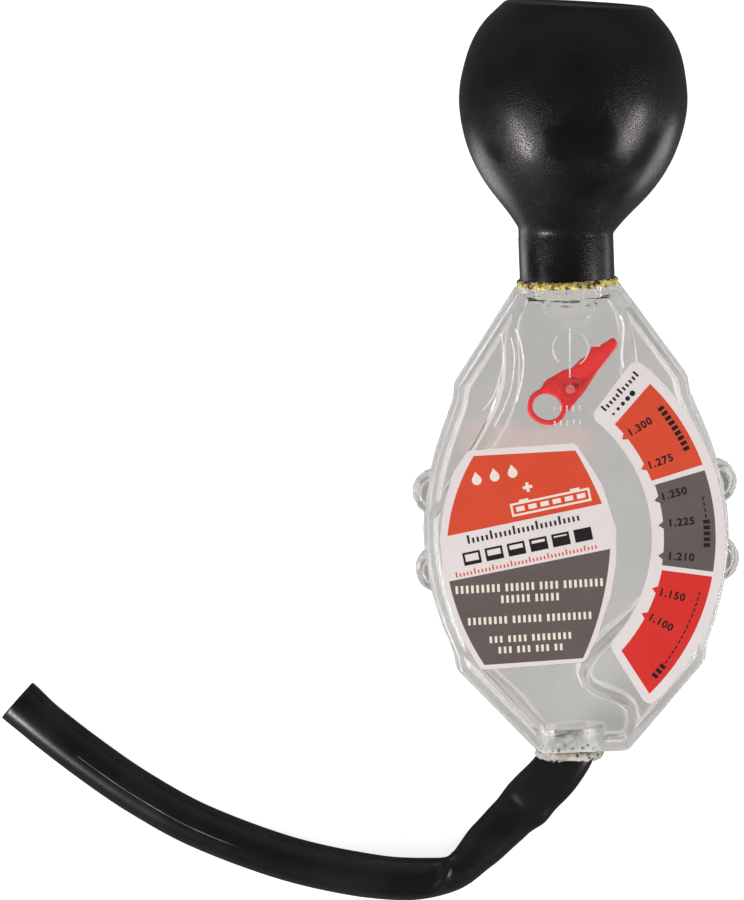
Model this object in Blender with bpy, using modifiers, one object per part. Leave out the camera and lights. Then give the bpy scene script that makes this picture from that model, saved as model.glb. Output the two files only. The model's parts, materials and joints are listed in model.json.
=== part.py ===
"""A battery acid tester with a squeeze bulb, a clear two-part housing, a pivoted pointer and a suction hose.

Metres, +Z up. The tester lies on its back: its labels look up, the bulb points to +Y, and the bulb and
the lower back edge of the housing touch the ground. Most pieces are modelled in the housing's own frame,
where Z runs through the housing's thickness and Z = 0 is the glued seam, and hang from one tilted empty.
"""

import math

import bmesh
import bpy
from mathutils import Vector

MM = 0.001
SEAM_GAP = 0.3 * MM
FIT_GAP = 0.3 * MM
OVERRUN = 1.0 * MM
# How fine the shapes are: how far an arc may stand outside its facets, the facets round an edge,
# the facets of a turned shape, and of a slot (two more than a multiple of four)
ARC_SAG = 0.05 * MM
EDGE_STEPS = 2
TURN_STEPS = 40
SLOT_TURN_STEPS = 22
FEWEST_TURN_STEPS = 12
CURVE_STEPS = 4
WELD = 0.001 * MM

# Housing, seen from the front: the half outline runs from the neck down to the hose socket.
# Each row is a place across and along, and a rounding, as shares of the half width and the reach.
HOUSING_HALF_WIDTH = 35.6 * MM
HOUSING_TOP = 57.2 * MM
HOUSING_BOTTOM = 51.7 * MM
OUTLINE_SHARES = (
    (0.336, 1.000, 0.017),
    (0.756, 0.619, 0.060),
    (0.770, 0.551, 0.120),
    (0.899, 0.350, 1.800),
    (0.972, 0.166, 1.800),
    (1.000, 0.000, 1.800),
    (0.969, -0.222, 1.800),
    (0.896, -0.406, 1.800),
    (0.826, -0.532, 0.300),
    (0.815, -0.603, 0.060),
    (0.292, -1.000, 0.034),
)
ROUNDED_SIDE_SHARE = 0.49
HOUSING_HALF_DEPTH = 8.0 * MM
BODY_EDGE = 0.8 * MM
FLANGE_WIDTH = 0.8 * MM
FLANGE_HALF_THICKNESS = 1.8 * MM
FLANGE_EDGE = 0.5 * MM
SIDE_WALL = 2.0 * MM
FACE_WALL = 1.6 * MM
CAVITY_EDGE = 0.7 * MM

# The ears on the flange, two on each side, where the two halves are located on each other
EAR_RADIUS = 5.2 * MM
EAR_PROUD = 1.9 * MM
EAR_HEIGHTS = (10.3 * MM, -7.7 * MM)
EAR_HALF_THICKNESS = 2.8 * MM
EAR_EDGE = 0.6 * MM
EAR_CROWN_RADIUS = 3.7 * MM
EAR_CROWN_HALF_THICKNESS = 3.6 * MM

# Neck of the housing, which the bulb's collar is pushed over
SPIGOT_RADIUS = 9.1 * MM
SPIGOT_LENGTH = 10.3 * MM
SPIGOT_LEAD = 0.8 * MM
NECK_BORE_RADIUS = 7.6 * MM
NECK_BORE_DEPTH = 7.2 * MM
SHOULDER_RADIUS = 11.6 * MM
SHOULDER_LENGTH = 12.2 * MM

# Walls moulded inside the halves: centre lines as shares of the half width and the reach
CHANNEL_WALL_THICKNESS = 2.0 * MM
CHANNEL_WALL_SHARES = (
    (0.268, 0.980),
    (0.300, 0.945),
    (0.357, 0.840),
    (0.357, 0.660),
    (0.390, 0.542),
    (0.475, 0.428),
    (0.604, 0.315),
    (0.758, 0.210),
    (0.938, 0.094),
)
SUMP_WALL_THICKNESS = 1.4 * MM
SUMP_WALL_SHARES = (
    (-0.800, -0.490),
    (-0.690, -0.560),
    (-0.520, -0.675),
    (-0.262, -0.880),
)
BAFFLE_THICKNESS = 1.4 * MM
BAFFLE_SHARES = (
    (0.420, -0.330),
    (0.315, -0.416),
    (0.140, -0.520),
    (0.040, -0.600),
    (0.018, -0.660),
    (0.055, -0.706),
    (0.132, -0.737),
    (0.212, -0.756),
    (0.281, -0.788),
    (0.313, -0.832),
    (0.300, -0.890),
    (0.282, -0.960),
)

# Socket for the hose in the lower edge, a slot with round ends
SOCKET_OFFSET = -3.4 * MM
SOCKET_HALF_WIDTH = 6.3 * MM
SOCKET_HALF_HEIGHT = 5.15 * MM
SOCKET_DEPTH = 6.2 * MM
SOCKET_WALL = 1.4 * MM

# Squeeze bulb: a straight collar and a pear-shaped body with a flat end, leaning at the neck.
# Rows are a radius and a height above the collar, as shares of the bulb's radius and height.
BULB_RADIUS = 26.2 * MM
BULB_HEIGHT = 52.7 * MM
BULB_SHARES = (
    (0.425, 0.016),
    (0.500, 0.066),
    (0.590, 0.118),
    (0.705, 0.184),
    (0.803, 0.254),
    (0.876, 0.322),
    (0.930, 0.390),
    (0.992, 0.528),
    (1.000, 0.582),
    (0.974, 0.700),
    (0.940, 0.772),
    (0.886, 0.842),
    (0.802, 0.910),
    (0.686, 0.972),
    (0.648, 0.992),
    (0.610, 1.000),
)
BULB_OUTSIDE_STEP = 2.9 * MM
BULB_INSIDE_STEP = 5.2 * MM
BULB_WALL = 1.8 * MM
BULB_LEAN = math.radians(5.2)
COLLAR_RADIUS = 10.95 * MM
COLLAR_LENGTH = 10.8 * MM

# Bead of glue between the collar and the housing, and the one round the hose
BEAD_THICKNESS = 0.5 * MM
BEAD_RADIUS = 12.0 * MM
HOSE_BEAD_LIP = 1.3 * MM
HOSE_BEAD_LENGTH = 1.0 * MM
HOSE_BEAD_CLEARANCE = 0.4 * MM

# Pointer, about its pivot, with the ring at its tail: outline rows are shares of the tip's distance
PIVOT_OFFSET = -0.5 * MM
PIVOT_HEIGHT = 33.6 * MM
POINTER_REACH = 14.0 * MM
POINTER_ANGLE = math.radians(44.5)
POINTER_TIP_RADIUS = 1.35 * MM
POINTER_THICKNESS = 1.6 * MM
POINTER_EDGE = 0.25 * MM
POINTER_RING_RADIUS = 4.2 * MM
POINTER_RING_HOLE = 3.0 * MM
POINTER_RING_DISTANCE = 6.35 * MM
POINTER_RING_ANGLE = math.radians(171.5)
POINTER_RING_SWEEP = (math.radians(62), math.radians(302))
POINTER_TIP_SWEEP = (math.radians(-85), math.radians(80))
POINTER_UPPER_SHARES = (
    (-0.110, 0.325),
    (0.235, 0.225),
    (0.480, 0.175),
    (0.600, 0.165),
    (0.715, 0.205),
    (0.860, 0.140),
)
POINTER_LOWER_SHARES = (
    (0.840, -0.108),
    (0.520, -0.125),
    (0.120, -0.178),
    (-0.255, -0.215),
)
HUB_RADIUS = 2.3 * MM
PIN_RADIUS = 0.8 * MM
PIN_EDGE = 0.2 * MM
PIN_HALF_LENGTH = 4.3 * MM

# Labels on the front face: shares of the half width and half height about the label's own middle
LABEL_THICKNESS = 0.2 * MM
LABEL_FILM = 0.1 * MM
LABEL_ROUND = 1.6 * MM
INFO_LABEL_MIDDLE = (-11.4 * MM, -4.6 * MM)
INFO_LABEL_HALF_WIDTH = 20.3 * MM
INFO_LABEL_HALF_HEIGHT = 25.9 * MM
INFO_LABEL_SHARES = (
    (0.575, 1.000),
    (-0.642, 0.972),
    (-0.822, 0.775),
    (-0.940, 0.480),
    (-1.000, 0.190),
    (-0.970, -0.180),
    (-0.822, -0.660),
    (-0.590, -1.000),
    (0.596, -0.965),
    (0.743, -0.745),
    (0.918, -0.365),
    (0.987, -0.085),
    (1.000, 0.225),
    (0.858, 0.625),
)
SCALE_CENTRE = (-18.5 * MM, -0.4 * MM)
SCALE_INNER_RADIUS = 35.6 * MM
SCALE_OUTER_RADIUS = 52.5 * MM
SCALE_OUTER_FROM = math.radians(-50.5)
SCALE_INNER_FROM = math.radians(-45.8)
SCALE_TO = math.radians(51.0)
SCALE_ROUND = 2.2 * MM

# Hose: the route runs from the socket's mouth over the ground, as steps from the mouth and a height
HOSE_RADIUS = 4.82 * MM
HOSE_SEATED = 5.0 * MM
HOSE_STRAIGHT = 2.0 * MM
HOSE_POINT_STEP = 4.6 * MM
HOSE_CLEAR = 0.03 * MM
HOSE_REST = HOSE_RADIUS + HOSE_CLEAR
HOSE_ROUTE = (
    (-3.4 * MM, -5.6 * MM, 6.75 * MM),
    (-8.4 * MM, -9.9 * MM, 6.0 * MM),
    (-15.5 * MM, -16.7 * MM, 5.15 * MM),
    (-22.8 * MM, -23.2 * MM, HOSE_REST),
    (-29.2 * MM, -27.4 * MM, HOSE_REST),
    (-38.5 * MM, -28.6 * MM, HOSE_REST),
    (-52.1 * MM, -26.6 * MM, HOSE_REST),
    (-68.2 * MM, -22.1 * MM, HOSE_REST),
    (-86.5 * MM, -14.4 * MM, HOSE_REST),
    (-99.6 * MM, -6.6 * MM, HOSE_REST),
    (-110.0 * MM, 1.0 * MM, HOSE_REST),
    (-120.8 * MM, 9.9 * MM, HOSE_REST),
    (-127.9 * MM, 16.6 * MM, HOSE_REST),
)


def clear_scene():
    for found in list(bpy.data.objects):
        bpy.data.objects.remove(found)


def new_collection(name):
    made = bpy.data.collections.new(name)
    bpy.context.scene.collection.children.link(made)
    return made


def material(name, colour, roughness, clear=0.0):
    made = bpy.data.materials.new(name)
    made.use_nodes = True
    shader = made.node_tree.nodes["Principled BSDF"]
    shader.inputs["Base Color"].default_value = (*colour, 1.0)
    shader.inputs["Roughness"].default_value = roughness
    shader.inputs["Metallic"].default_value = 0.0
    shader.inputs["Transmission Weight"].default_value = clear
    made.diffuse_color = (*colour, 1.0 - clear / 2)
    return made


clear_scene()
TESTER = new_collection("battery_acid_tester")
CUTTERS = new_collection("cutters")
CUTTERS.hide_render = True
CLEAR_PLASTIC = material("clear_plastic", (0.82, 0.84, 0.82), 0.08, clear=0.85)
BLACK_RUBBER = material("black_rubber", (0.012, 0.012, 0.011), 0.42)
BLACK_HOSE = material("black_hose", (0.014, 0.014, 0.014), 0.22)
RED_PLASTIC = material("red_plastic", (0.62, 0.03, 0.035), 0.35)
PALE_PLASTIC = material("pale_plastic", (0.62, 0.60, 0.57), 0.35)
LABEL_WHITE = material("label_white", (0.72, 0.66, 0.65), 0.4)
YELLOW_GLUE = material("yellow_glue", (0.62, 0.50, 0.10), 0.3)
CLEAR_GLUE = material("clear_glue", (0.70, 0.68, 0.62), 0.25, clear=0.4)


def smooth_through(points, step):
    """Points at even steps along a smooth curve through the given points."""
    points = [Vector(p) for p in points]
    ends = [points[0] * 2 - points[1], *points, points[-1] * 2 - points[-2]]
    dense = []
    for before, start, stop, after in zip(ends, ends[1:], ends[2:], ends[3:]):
        leave = (stop - before) / 2
        arrive = (after - start) / 2
        count = math.ceil((stop - start).length / step) * CURVE_STEPS
        for i in range(count):
            t = i / count
            dense.append(
                start * (2 * t**3 - 3 * t**2 + 1)
                + leave * (t**3 - 2 * t**2 + t)
                + stop * (3 * t**2 - 2 * t**3)
                + arrive * (t**3 - t**2)
            )
    dense.append(points[-1])
    lengths = [0.0]
    for a, b in zip(dense, dense[1:]):
        lengths.append(lengths[-1] + (b - a).length)
    steps = max(2, round(lengths[-1] / step))
    found = []
    k = 0
    for i in range(steps + 1):
        wanted = lengths[-1] * i / steps
        while k < len(dense) - 2 and lengths[k + 1] < wanted:
            k += 1
        share = (wanted - lengths[k]) / (lengths[k + 1] - lengths[k])
        found.append(dense[k].lerp(dense[k + 1], min(1.0, share)))
    return found


def inset(outline, distance):
    """A counter-clockwise outline moved inwards, with its corners kept sharp."""
    moved = []
    for i, corner in enumerate(outline):
        into = (corner - outline[i - 1]).normalized()
        out = (outline[(i + 1) % len(outline)] - corner).normalized()
        first = Vector((-into.y, into.x))
        second = Vector((-out.y, out.x))
        moved.append(corner + (first + second) * (distance / (1 + first.dot(second))))
    return moved


def arc_steps(radius, turn):
    """How many facets follow an arc closely enough."""
    share = min(1.0, ARC_SAG / radius)
    return max(1, math.ceil(turn / (2 * math.acos(1 - share))))


def arc(middle, radius, start, stop):
    steps = arc_steps(radius, stop - start)
    angles = [start + (stop - start) * i / steps for i in range(steps + 1)]
    return [middle + Vector((math.cos(a), math.sin(a))) * radius for a in angles]


def circle(radius, middle=(0.0, 0.0), clockwise=False):
    steps = max(FEWEST_TURN_STEPS, arc_steps(radius, math.tau))
    turn = -math.tau if clockwise else math.tau
    angles = [turn * i / steps for i in range(steps)]
    return [Vector(middle) + Vector((math.cos(a), math.sin(a))) * radius for a in angles]


def rounded(outline, radii):
    """The outline with an arc at each corner that has a radius, as large as its neighbours allow."""
    made = []
    for i, corner in enumerate(outline):
        back = outline[i - 1] - corner
        ahead = outline[(i + 1) % len(outline)] - corner
        turn = math.pi - back.angle(ahead)
        if radii[i] == 0.0 or turn < math.radians(1):
            made.append(corner)
            continue
        room = ROUNDED_SIDE_SHARE * min(back.length, ahead.length)
        reach = min(radii[i] * math.tan(turn / 2), room)
        radius = reach / math.tan(turn / 2)
        back.normalize()
        ahead.normalize()
        centre = corner + (back + ahead).normalized() * (radius / math.cos(turn / 2))
        first = corner + back * reach - centre
        last = corner + ahead * reach - centre
        steps = arc_steps(radius, turn)
        for k in range(steps + 1):
            share = k / steps
            blend = first * math.sin((1 - share) * turn) + last * math.sin(share * turn)
            made.append(centre + blend / math.sin(turn))
    return made


def at_share(across, along):
    """A place in the housing from shares of its half width and of its reach up or down."""
    reach = HOUSING_TOP if along > 0 else HOUSING_BOTTOM
    return Vector((across * HOUSING_HALF_WIDTH, along * reach))


def housing_outline(distance):
    """The housing's outline, without its ears, moved inwards."""
    right = [at_share(across, along) for across, along, _ in OUTLINE_SHARES]
    radii = [share * HOUSING_HALF_WIDTH for _, _, share in OUTLINE_SHARES]
    left = [Vector((-p.x, p.y)) for p in right]
    return rounded(inset(left + right[::-1], distance), radii + radii[::-1])


def ribbon(centre_line, width):
    """The outline of a wall of this width along a centre line."""
    sides = ([], [])
    for i, point in enumerate(centre_line):
        ahead = centre_line[min(i + 1, len(centre_line) - 1)]
        behind = centre_line[max(i - 1, 0)]
        along = (ahead - behind).normalized()
        across = Vector((-along.y, along.x)) * (width / 2)
        sides[0].append(point - across)
        sides[1].append(point + across)
    return sides[0] + sides[1][::-1]


def link(name, mesh, look=None, cutter=False):
    made = bpy.data.objects.new(name, mesh)
    (CUTTERS if cutter else TESTER).objects.link(made)
    if cutter:
        made.hide_render = True
        made.display_type = "WIRE"
    if look:
        mesh.materials.clear()
        mesh.materials.append(look)
    return made


def mesh_of(helper):
    """The evaluated mesh of a helper object, welded, and the helper removed."""
    bpy.context.view_layer.update()
    graph = bpy.context.evaluated_depsgraph_get()
    mesh = bpy.data.meshes.new_from_object(helper.evaluated_get(graph))
    bpy.data.objects.remove(helper)
    shape = bmesh.new()
    shape.from_mesh(mesh)
    bmesh.ops.remove_doubles(shape, verts=shape.verts, dist=WELD)
    bmesh.ops.recalc_face_normals(shape, faces=shape.faces)
    shape.to_mesh(mesh)
    shape.free()
    return mesh


def plate_mesh(outlines, half_thickness, edge=0.0):
    """A plate in the XY plane. Its outlines bound its flat faces, and the rounded edge stands outside them.

    Outlines after the first are holes, and run clockwise.
    """
    curve = bpy.data.curves.new("plate", "CURVE")
    curve.dimensions = "2D"
    curve.fill_mode = "BOTH"
    curve.extrude = half_thickness - edge
    curve.bevel_depth = edge
    curve.bevel_resolution = EDGE_STEPS - 1
    for outline in outlines:
        spline = curve.splines.new("POLY")
        spline.points.add(len(outline) - 1)
        for point, place in zip(spline.points, outline):
            point.co = (place.x, place.y, 0.0, 1.0)
        spline.use_cyclic_u = True
    return mesh_of(link("plate", curve, cutter=True))


def raise_by(mesh, height):
    for vertex in mesh.vertices:
        vertex.co.z += height
    return mesh


def turned_mesh(profile, steps=TURN_STEPS):
    """A body turned about the Y axis from (radius, height) rows that run up its outer side."""
    mesh = bpy.data.meshes.new("profile")
    rows = [(radius, height, 0.0) for radius, height in profile]
    on_axis = profile[0][0] == 0.0
    edges = [(i, i + 1) for i in range(len(rows) - 1)]
    if not on_axis:
        edges.append((len(rows) - 1, 0))
    mesh.from_pydata(rows, edges, [])
    helper = link("profile", mesh, cutter=True)
    screw = helper.modifiers.new("turn", "SCREW")
    screw.axis = "Y"
    screw.steps = steps
    screw.render_steps = steps
    screw.use_merge_vertices = True
    screw.merge_threshold = WELD
    return mesh_of(helper)


def slot_mesh(half_width, half_height, low, high, middle):
    """A solid along Y whose section is a slot with round ends."""
    shape = bmesh.new()
    bmesh.ops.create_cone(
        shape,
        cap_ends=True,
        segments=SLOT_TURN_STEPS,
        radius1=half_height,
        radius2=half_height,
        depth=high - low,
    )
    half_step = math.pi / SLOT_TURN_STEPS
    for vertex in shape.verts:
        x, y, z = vertex.co
        across = x * math.cos(half_step) - y * math.sin(half_step)
        up = x * math.sin(half_step) + y * math.cos(half_step)
        across += math.copysign(half_width - half_height, across)
        vertex.co = (middle + across, (low + high) / 2 + z, up)
    bmesh.ops.recalc_face_normals(shape, faces=shape.faces)
    mesh = bpy.data.meshes.new("slot")
    shape.to_mesh(mesh)
    shape.free()
    return mesh


def box_mesh(low, high):
    shape = bmesh.new()
    bmesh.ops.create_cube(shape, size=1.0)
    middle = (Vector(low) + Vector(high)) / 2
    size = Vector(high) - Vector(low)
    for vertex in shape.verts:
        vertex.co = middle + Vector(c * s for c, s in zip(vertex.co, size))
    mesh = bpy.data.meshes.new("box")
    shape.to_mesh(mesh)
    shape.free()
    return mesh


def combine(target, operation, other):
    modifier = target.modifiers.new(other.name, "BOOLEAN")
    modifier.operation = operation
    modifier.solver = "EXACT"
    modifier.object = other


def smooth(target, angle=math.radians(35)):
    target.data.shade_smooth()
    target.data.set_sharp_from_angle(angle=angle)


def housing_body():
    """Solids that are joined to make both halves' outside."""
    joined = [
        link(
            "body_block",
            plate_mesh([housing_outline(FLANGE_WIDTH + BODY_EDGE)], HOUSING_HALF_DEPTH, BODY_EDGE),
            cutter=True,
        )
    ]
    ear_middle = HOUSING_HALF_WIDTH + EAR_PROUD - EAR_RADIUS
    for height in EAR_HEIGHTS:
        for side in (-1, 1):
            middle = (side * ear_middle, height)
            ear = circle(EAR_RADIUS - EAR_EDGE, middle)
            ear = plate_mesh([ear], EAR_HALF_THICKNESS, EAR_EDGE)
            crown = circle(EAR_CROWN_RADIUS - EAR_EDGE, middle)
            crown = plate_mesh([crown], EAR_CROWN_HALF_THICKNESS, EAR_EDGE)
            joined.append(link("ear", ear, cutter=True))
            joined.append(link("ear_crown", crown, cutter=True))
    shoulder_foot = HOUSING_TOP - SHOULDER_LENGTH
    shoulder = [
        (0.0, shoulder_foot),
        (HOUSING_HALF_DEPTH, shoulder_foot),
        (SHOULDER_RADIUS, HOUSING_TOP),
        (SPIGOT_RADIUS, HOUSING_TOP),
        (SPIGOT_RADIUS, HOUSING_TOP + SPIGOT_LENGTH - SPIGOT_LEAD),
        (SPIGOT_RADIUS - SPIGOT_LEAD / 2, HOUSING_TOP + SPIGOT_LENGTH),
        (0.0, HOUSING_TOP + SPIGOT_LENGTH),
    ]
    joined.append(link("neck", turned_mesh(shoulder), cutter=True))
    return joined


def inner_walls():
    """Solids moulded inside the halves: channel walls, sump wall, baffle and hose socket."""
    half_height = HOUSING_HALF_DEPTH - FACE_WALL + FACE_WALL / 3
    walls = []
    for name, shares, thickness, sides in (
        ("channel_wall", CHANNEL_WALL_SHARES, CHANNEL_WALL_THICKNESS, (-1, 1)),
        ("sump_wall", SUMP_WALL_SHARES, SUMP_WALL_THICKNESS, (1,)),
        ("baffle", BAFFLE_SHARES, BAFFLE_THICKNESS, (1,)),
    ):
        for side in sides:
            line = [at_share(side * across, along) for across, along in shares]
            line = smooth_through(line, 2 * thickness)
            walls.append(link(name, plate_mesh([ribbon(line, thickness)], half_height), cutter=True))
    block_half = SOCKET_HALF_WIDTH + SOCKET_WALL
    low = (
        SOCKET_OFFSET - block_half,
        -HOUSING_BOTTOM + FLANGE_WIDTH + OVERRUN / 2,
        -half_height,
    )
    high = (SOCKET_OFFSET + block_half, -HOUSING_BOTTOM + SOCKET_DEPTH, half_height)
    walls.append(link("socket_block", box_mesh(low, high), cutter=True))
    return walls


def pivot_post(side):
    """The boss inside one half that carries the pointer's pin."""
    low = POINTER_THICKNESS / 2 + FIT_GAP
    high = HOUSING_HALF_DEPTH - FACE_WALL / 2
    post = plate_mesh([circle(HUB_RADIUS, (PIVOT_OFFSET, PIVOT_HEIGHT))], (high - low) / 2)
    return link("pivot_post", raise_by(post, side * (low + high) / 2), cutter=True)


def housing_shells():
    """The two clear halves, each an open tray with the walls moulded in it."""
    outside = housing_body()
    cavity = housing_outline(FLANGE_WIDTH + SIDE_WALL + CAVITY_EDGE)
    cavity = plate_mesh([cavity], HOUSING_HALF_DEPTH - FACE_WALL, CAVITY_EDGE)
    cavity = link("cavity", cavity, cutter=True)
    walls = inner_walls()
    bore = turned_mesh(
        [
            (0.0, HOUSING_TOP - NECK_BORE_DEPTH),
            (NECK_BORE_RADIUS, HOUSING_TOP - NECK_BORE_DEPTH),
            (NECK_BORE_RADIUS, HOUSING_TOP + SPIGOT_LENGTH + OVERRUN),
            (0.0, HOUSING_TOP + SPIGOT_LENGTH + OVERRUN),
        ]
    )
    bore = link("neck_bore", bore, cutter=True)
    slot = slot_mesh(
        SOCKET_HALF_WIDTH,
        SOCKET_HALF_HEIGHT,
        -HOUSING_BOTTOM - OVERRUN,
        -HOUSING_BOTTOM + SOCKET_DEPTH + OVERRUN,
        SOCKET_OFFSET,
    )
    slot = link("hose_slot", slot, cutter=True)
    pin_hole = circle(PIN_RADIUS + FIT_GAP, (PIVOT_OFFSET, PIVOT_HEIGHT))
    pin_hole = link("pin_hole", plate_mesh([pin_hole], PIN_HALF_LENGTH + FIT_GAP), cutter=True)
    shells = []
    for name, side in (("front_shell", 1), ("back_shell", -1)):
        flange = plate_mesh([housing_outline(FLANGE_EDGE)], FLANGE_HALF_THICKNESS, FLANGE_EDGE)
        shell = link(name, flange, CLEAR_PLASTIC)
        for solid in outside:
            combine(shell, "UNION", solid)
        combine(shell, "DIFFERENCE", cavity)
        for wall in (*walls, pivot_post(side)):
            combine(shell, "UNION", wall)
        for cut in (bore, slot, pin_hole):
            combine(shell, "DIFFERENCE", cut)
        far = 2 * HOUSING_HALF_WIDTH + HOUSING_TOP
        seam = side * SEAM_GAP / 2
        deep = side * -far
        other_half = box_mesh((-far, -far, min(seam, deep)), (far, far, max(seam, deep)))
        combine(shell, "DIFFERENCE", link("other_half", other_half, cutter=True))
        smooth(shell)
        shells.append(shell)
    return shells


def path_offset(path, distance):
    """An open (radius, height) path moved towards its left side."""
    moved = []
    for i, point in enumerate(path):
        ahead = path[min(i + 1, len(path) - 1)]
        behind = path[max(i - 1, 0)]
        along = (ahead - behind).normalized()
        moved.append(point + Vector((-along.y, along.x)) * distance)
    return moved


def squeeze_bulb():
    """The rubber bulb: turned with its bore, then bent at the top of its collar."""
    collar_foot = HOUSING_TOP + 2 * FIT_GAP + BEAD_THICKNESS
    collar_top = collar_foot + COLLAR_LENGTH
    stations = [
        Vector((radius * BULB_RADIUS, collar_top + height * BULB_HEIGHT))
        for radius, height in BULB_SHARES
    ]
    outside = smooth_through(stations, BULB_OUTSIDE_STEP)
    inside = path_offset(smooth_through(stations, BULB_INSIDE_STEP), BULB_WALL)
    bore = SPIGOT_RADIUS + FIT_GAP
    inside = [p for p in inside if p.x > bore + BULB_WALL / 2]
    profile = [Vector((bore, collar_foot)), Vector((COLLAR_RADIUS, collar_foot))]
    profile.append(Vector((COLLAR_RADIUS, collar_top - BULB_WALL / 2)))
    profile += outside
    end = collar_top + BULB_HEIGHT
    profile.append(Vector((0.0, end)))
    profile.append(Vector((0.0, end - BULB_WALL)))
    profile += inside[::-1]
    profile.append(Vector((bore, collar_top)))
    mesh = turned_open_mesh(profile)
    for vertex in mesh.vertices:
        above = vertex.co.y - collar_top
        share = min(1.0, max(0.0, 0.5 + above / BULB_WALL / 2))
        angle = -BULB_LEAN * share
        x, y = vertex.co.x, above
        vertex.co.x = x * math.cos(angle) - y * math.sin(angle)
        vertex.co.y = collar_top + x * math.sin(angle) + y * math.cos(angle)
    bulb = link("squeeze_bulb", mesh, BLACK_RUBBER)
    smooth(bulb)
    return bulb


def turned_open_mesh(profile):
    """A body turned about Y from a closed section that touches the axis only at two neighbours."""
    split = next(i for i, p in enumerate(profile) if p.x == 0.0)
    rows = profile[split + 1 :] + profile[: split + 1]
    return turned_mesh([(p.x, p.y) for p in rows])


def bulb_glue_bead():
    low = HOUSING_TOP + FIT_GAP
    high = low + BEAD_THICKNESS
    inner = SPIGOT_RADIUS + FIT_GAP
    profile = [
        (inner, low),
        (BEAD_RADIUS - BEAD_THICKNESS / 2, low),
        (BEAD_RADIUS, low + BEAD_THICKNESS / 2),
        (BEAD_RADIUS - BEAD_THICKNESS / 2, high),
        (inner, high),
    ]
    bead = link("bulb_glue_bead", turned_mesh(profile), YELLOW_GLUE)
    smooth(bead)
    return bead


def hose_glue_bead():
    high = -HOUSING_BOTTOM - FIT_GAP
    low = high - HOSE_BEAD_LENGTH
    bead = slot_mesh(
        SOCKET_HALF_WIDTH + HOSE_BEAD_LIP,
        SOCKET_HALF_HEIGHT + HOSE_BEAD_LIP,
        low,
        high,
        SOCKET_OFFSET,
    )
    bead = link("hose_glue_bead", bead, CLEAR_GLUE)
    opening = slot_mesh(
        SOCKET_HALF_WIDTH + HOSE_BEAD_CLEARANCE,
        SOCKET_HALF_HEIGHT,
        low - OVERRUN,
        high + OVERRUN,
        SOCKET_OFFSET,
    )
    combine(bead, "DIFFERENCE", link("bead_opening", opening, cutter=True))
    smooth(bead)
    return bead


def pointer():
    """The flat red pointer. Its origin is on the pivot, and its outline is drawn along the tip."""
    ring = Vector((math.cos(POINTER_RING_ANGLE), math.sin(POINTER_RING_ANGLE))) * POINTER_RING_DISTANCE
    tip = Vector((POINTER_REACH, 0.0))
    outline = arc(ring, POINTER_RING_RADIUS, *POINTER_RING_SWEEP)
    outline += [Vector(p) * POINTER_REACH for p in POINTER_LOWER_SHARES[::-1]]
    outline += arc(tip, POINTER_TIP_RADIUS, *POINTER_TIP_SWEEP)
    outline += [Vector(p) * POINTER_REACH for p in POINTER_UPPER_SHARES[::-1]]
    outline = inset(outline, POINTER_EDGE)
    ring_hole = circle(POINTER_RING_HOLE + POINTER_EDGE, ring, clockwise=True)
    pin_hole = circle(PIN_RADIUS + FIT_GAP + POINTER_EDGE, clockwise=True)
    mesh = plate_mesh([outline, ring_hole, pin_hole], POINTER_THICKNESS / 2, POINTER_EDGE)
    made = link("pointer", mesh, RED_PLASTIC)
    made.location = (PIVOT_OFFSET, PIVOT_HEIGHT, 0.0)
    made.rotation_euler.z = POINTER_ANGLE
    smooth(made)
    return made


def pointer_pin():
    mesh = plate_mesh([circle(PIN_RADIUS - PIN_EDGE)], PIN_HALF_LENGTH, PIN_EDGE)
    made = link("pointer_pin", mesh, PALE_PLASTIC)
    made.location = (PIVOT_OFFSET, PIVOT_HEIGHT, 0.0)
    smooth(made)
    return made


def label(name, outline):
    mesh = plate_mesh([outline], LABEL_THICKNESS / 2)
    height = HOUSING_HALF_DEPTH + LABEL_FILM + LABEL_THICKNESS / 2
    return link(name, raise_by(mesh, height), LABEL_WHITE)


def info_label():
    middle = Vector(INFO_LABEL_MIDDLE)
    size = (INFO_LABEL_HALF_WIDTH, INFO_LABEL_HALF_HEIGHT)
    corners = [middle + Vector((p[0] * size[0], p[1] * size[1])) for p in INFO_LABEL_SHARES]
    return label("info_label", rounded(corners, [LABEL_ROUND] * len(corners)))


def scale_label():
    middle = Vector(SCALE_CENTRE)
    outer = arc(middle, SCALE_OUTER_RADIUS, SCALE_OUTER_FROM, SCALE_TO)
    inner = arc(middle, SCALE_INNER_RADIUS, SCALE_INNER_FROM, SCALE_TO)
    radii = [0.0] * (len(outer) - 2) + [SCALE_ROUND, SCALE_ROUND] + [0.0] * (len(inner) - 2)
    return label("scale_label", rounded(outer + inner[::-1], [SCALE_ROUND, *radii, SCALE_ROUND]))


def points_of(target):
    """Where the target's evaluated vertices are."""
    evaluated = target.evaluated_get(bpy.context.evaluated_depsgraph_get())
    mesh = evaluated.to_mesh()
    found = [target.matrix_world @ vertex.co for vertex in mesh.vertices]
    evaluated.to_mesh_clear()
    return found


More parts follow.
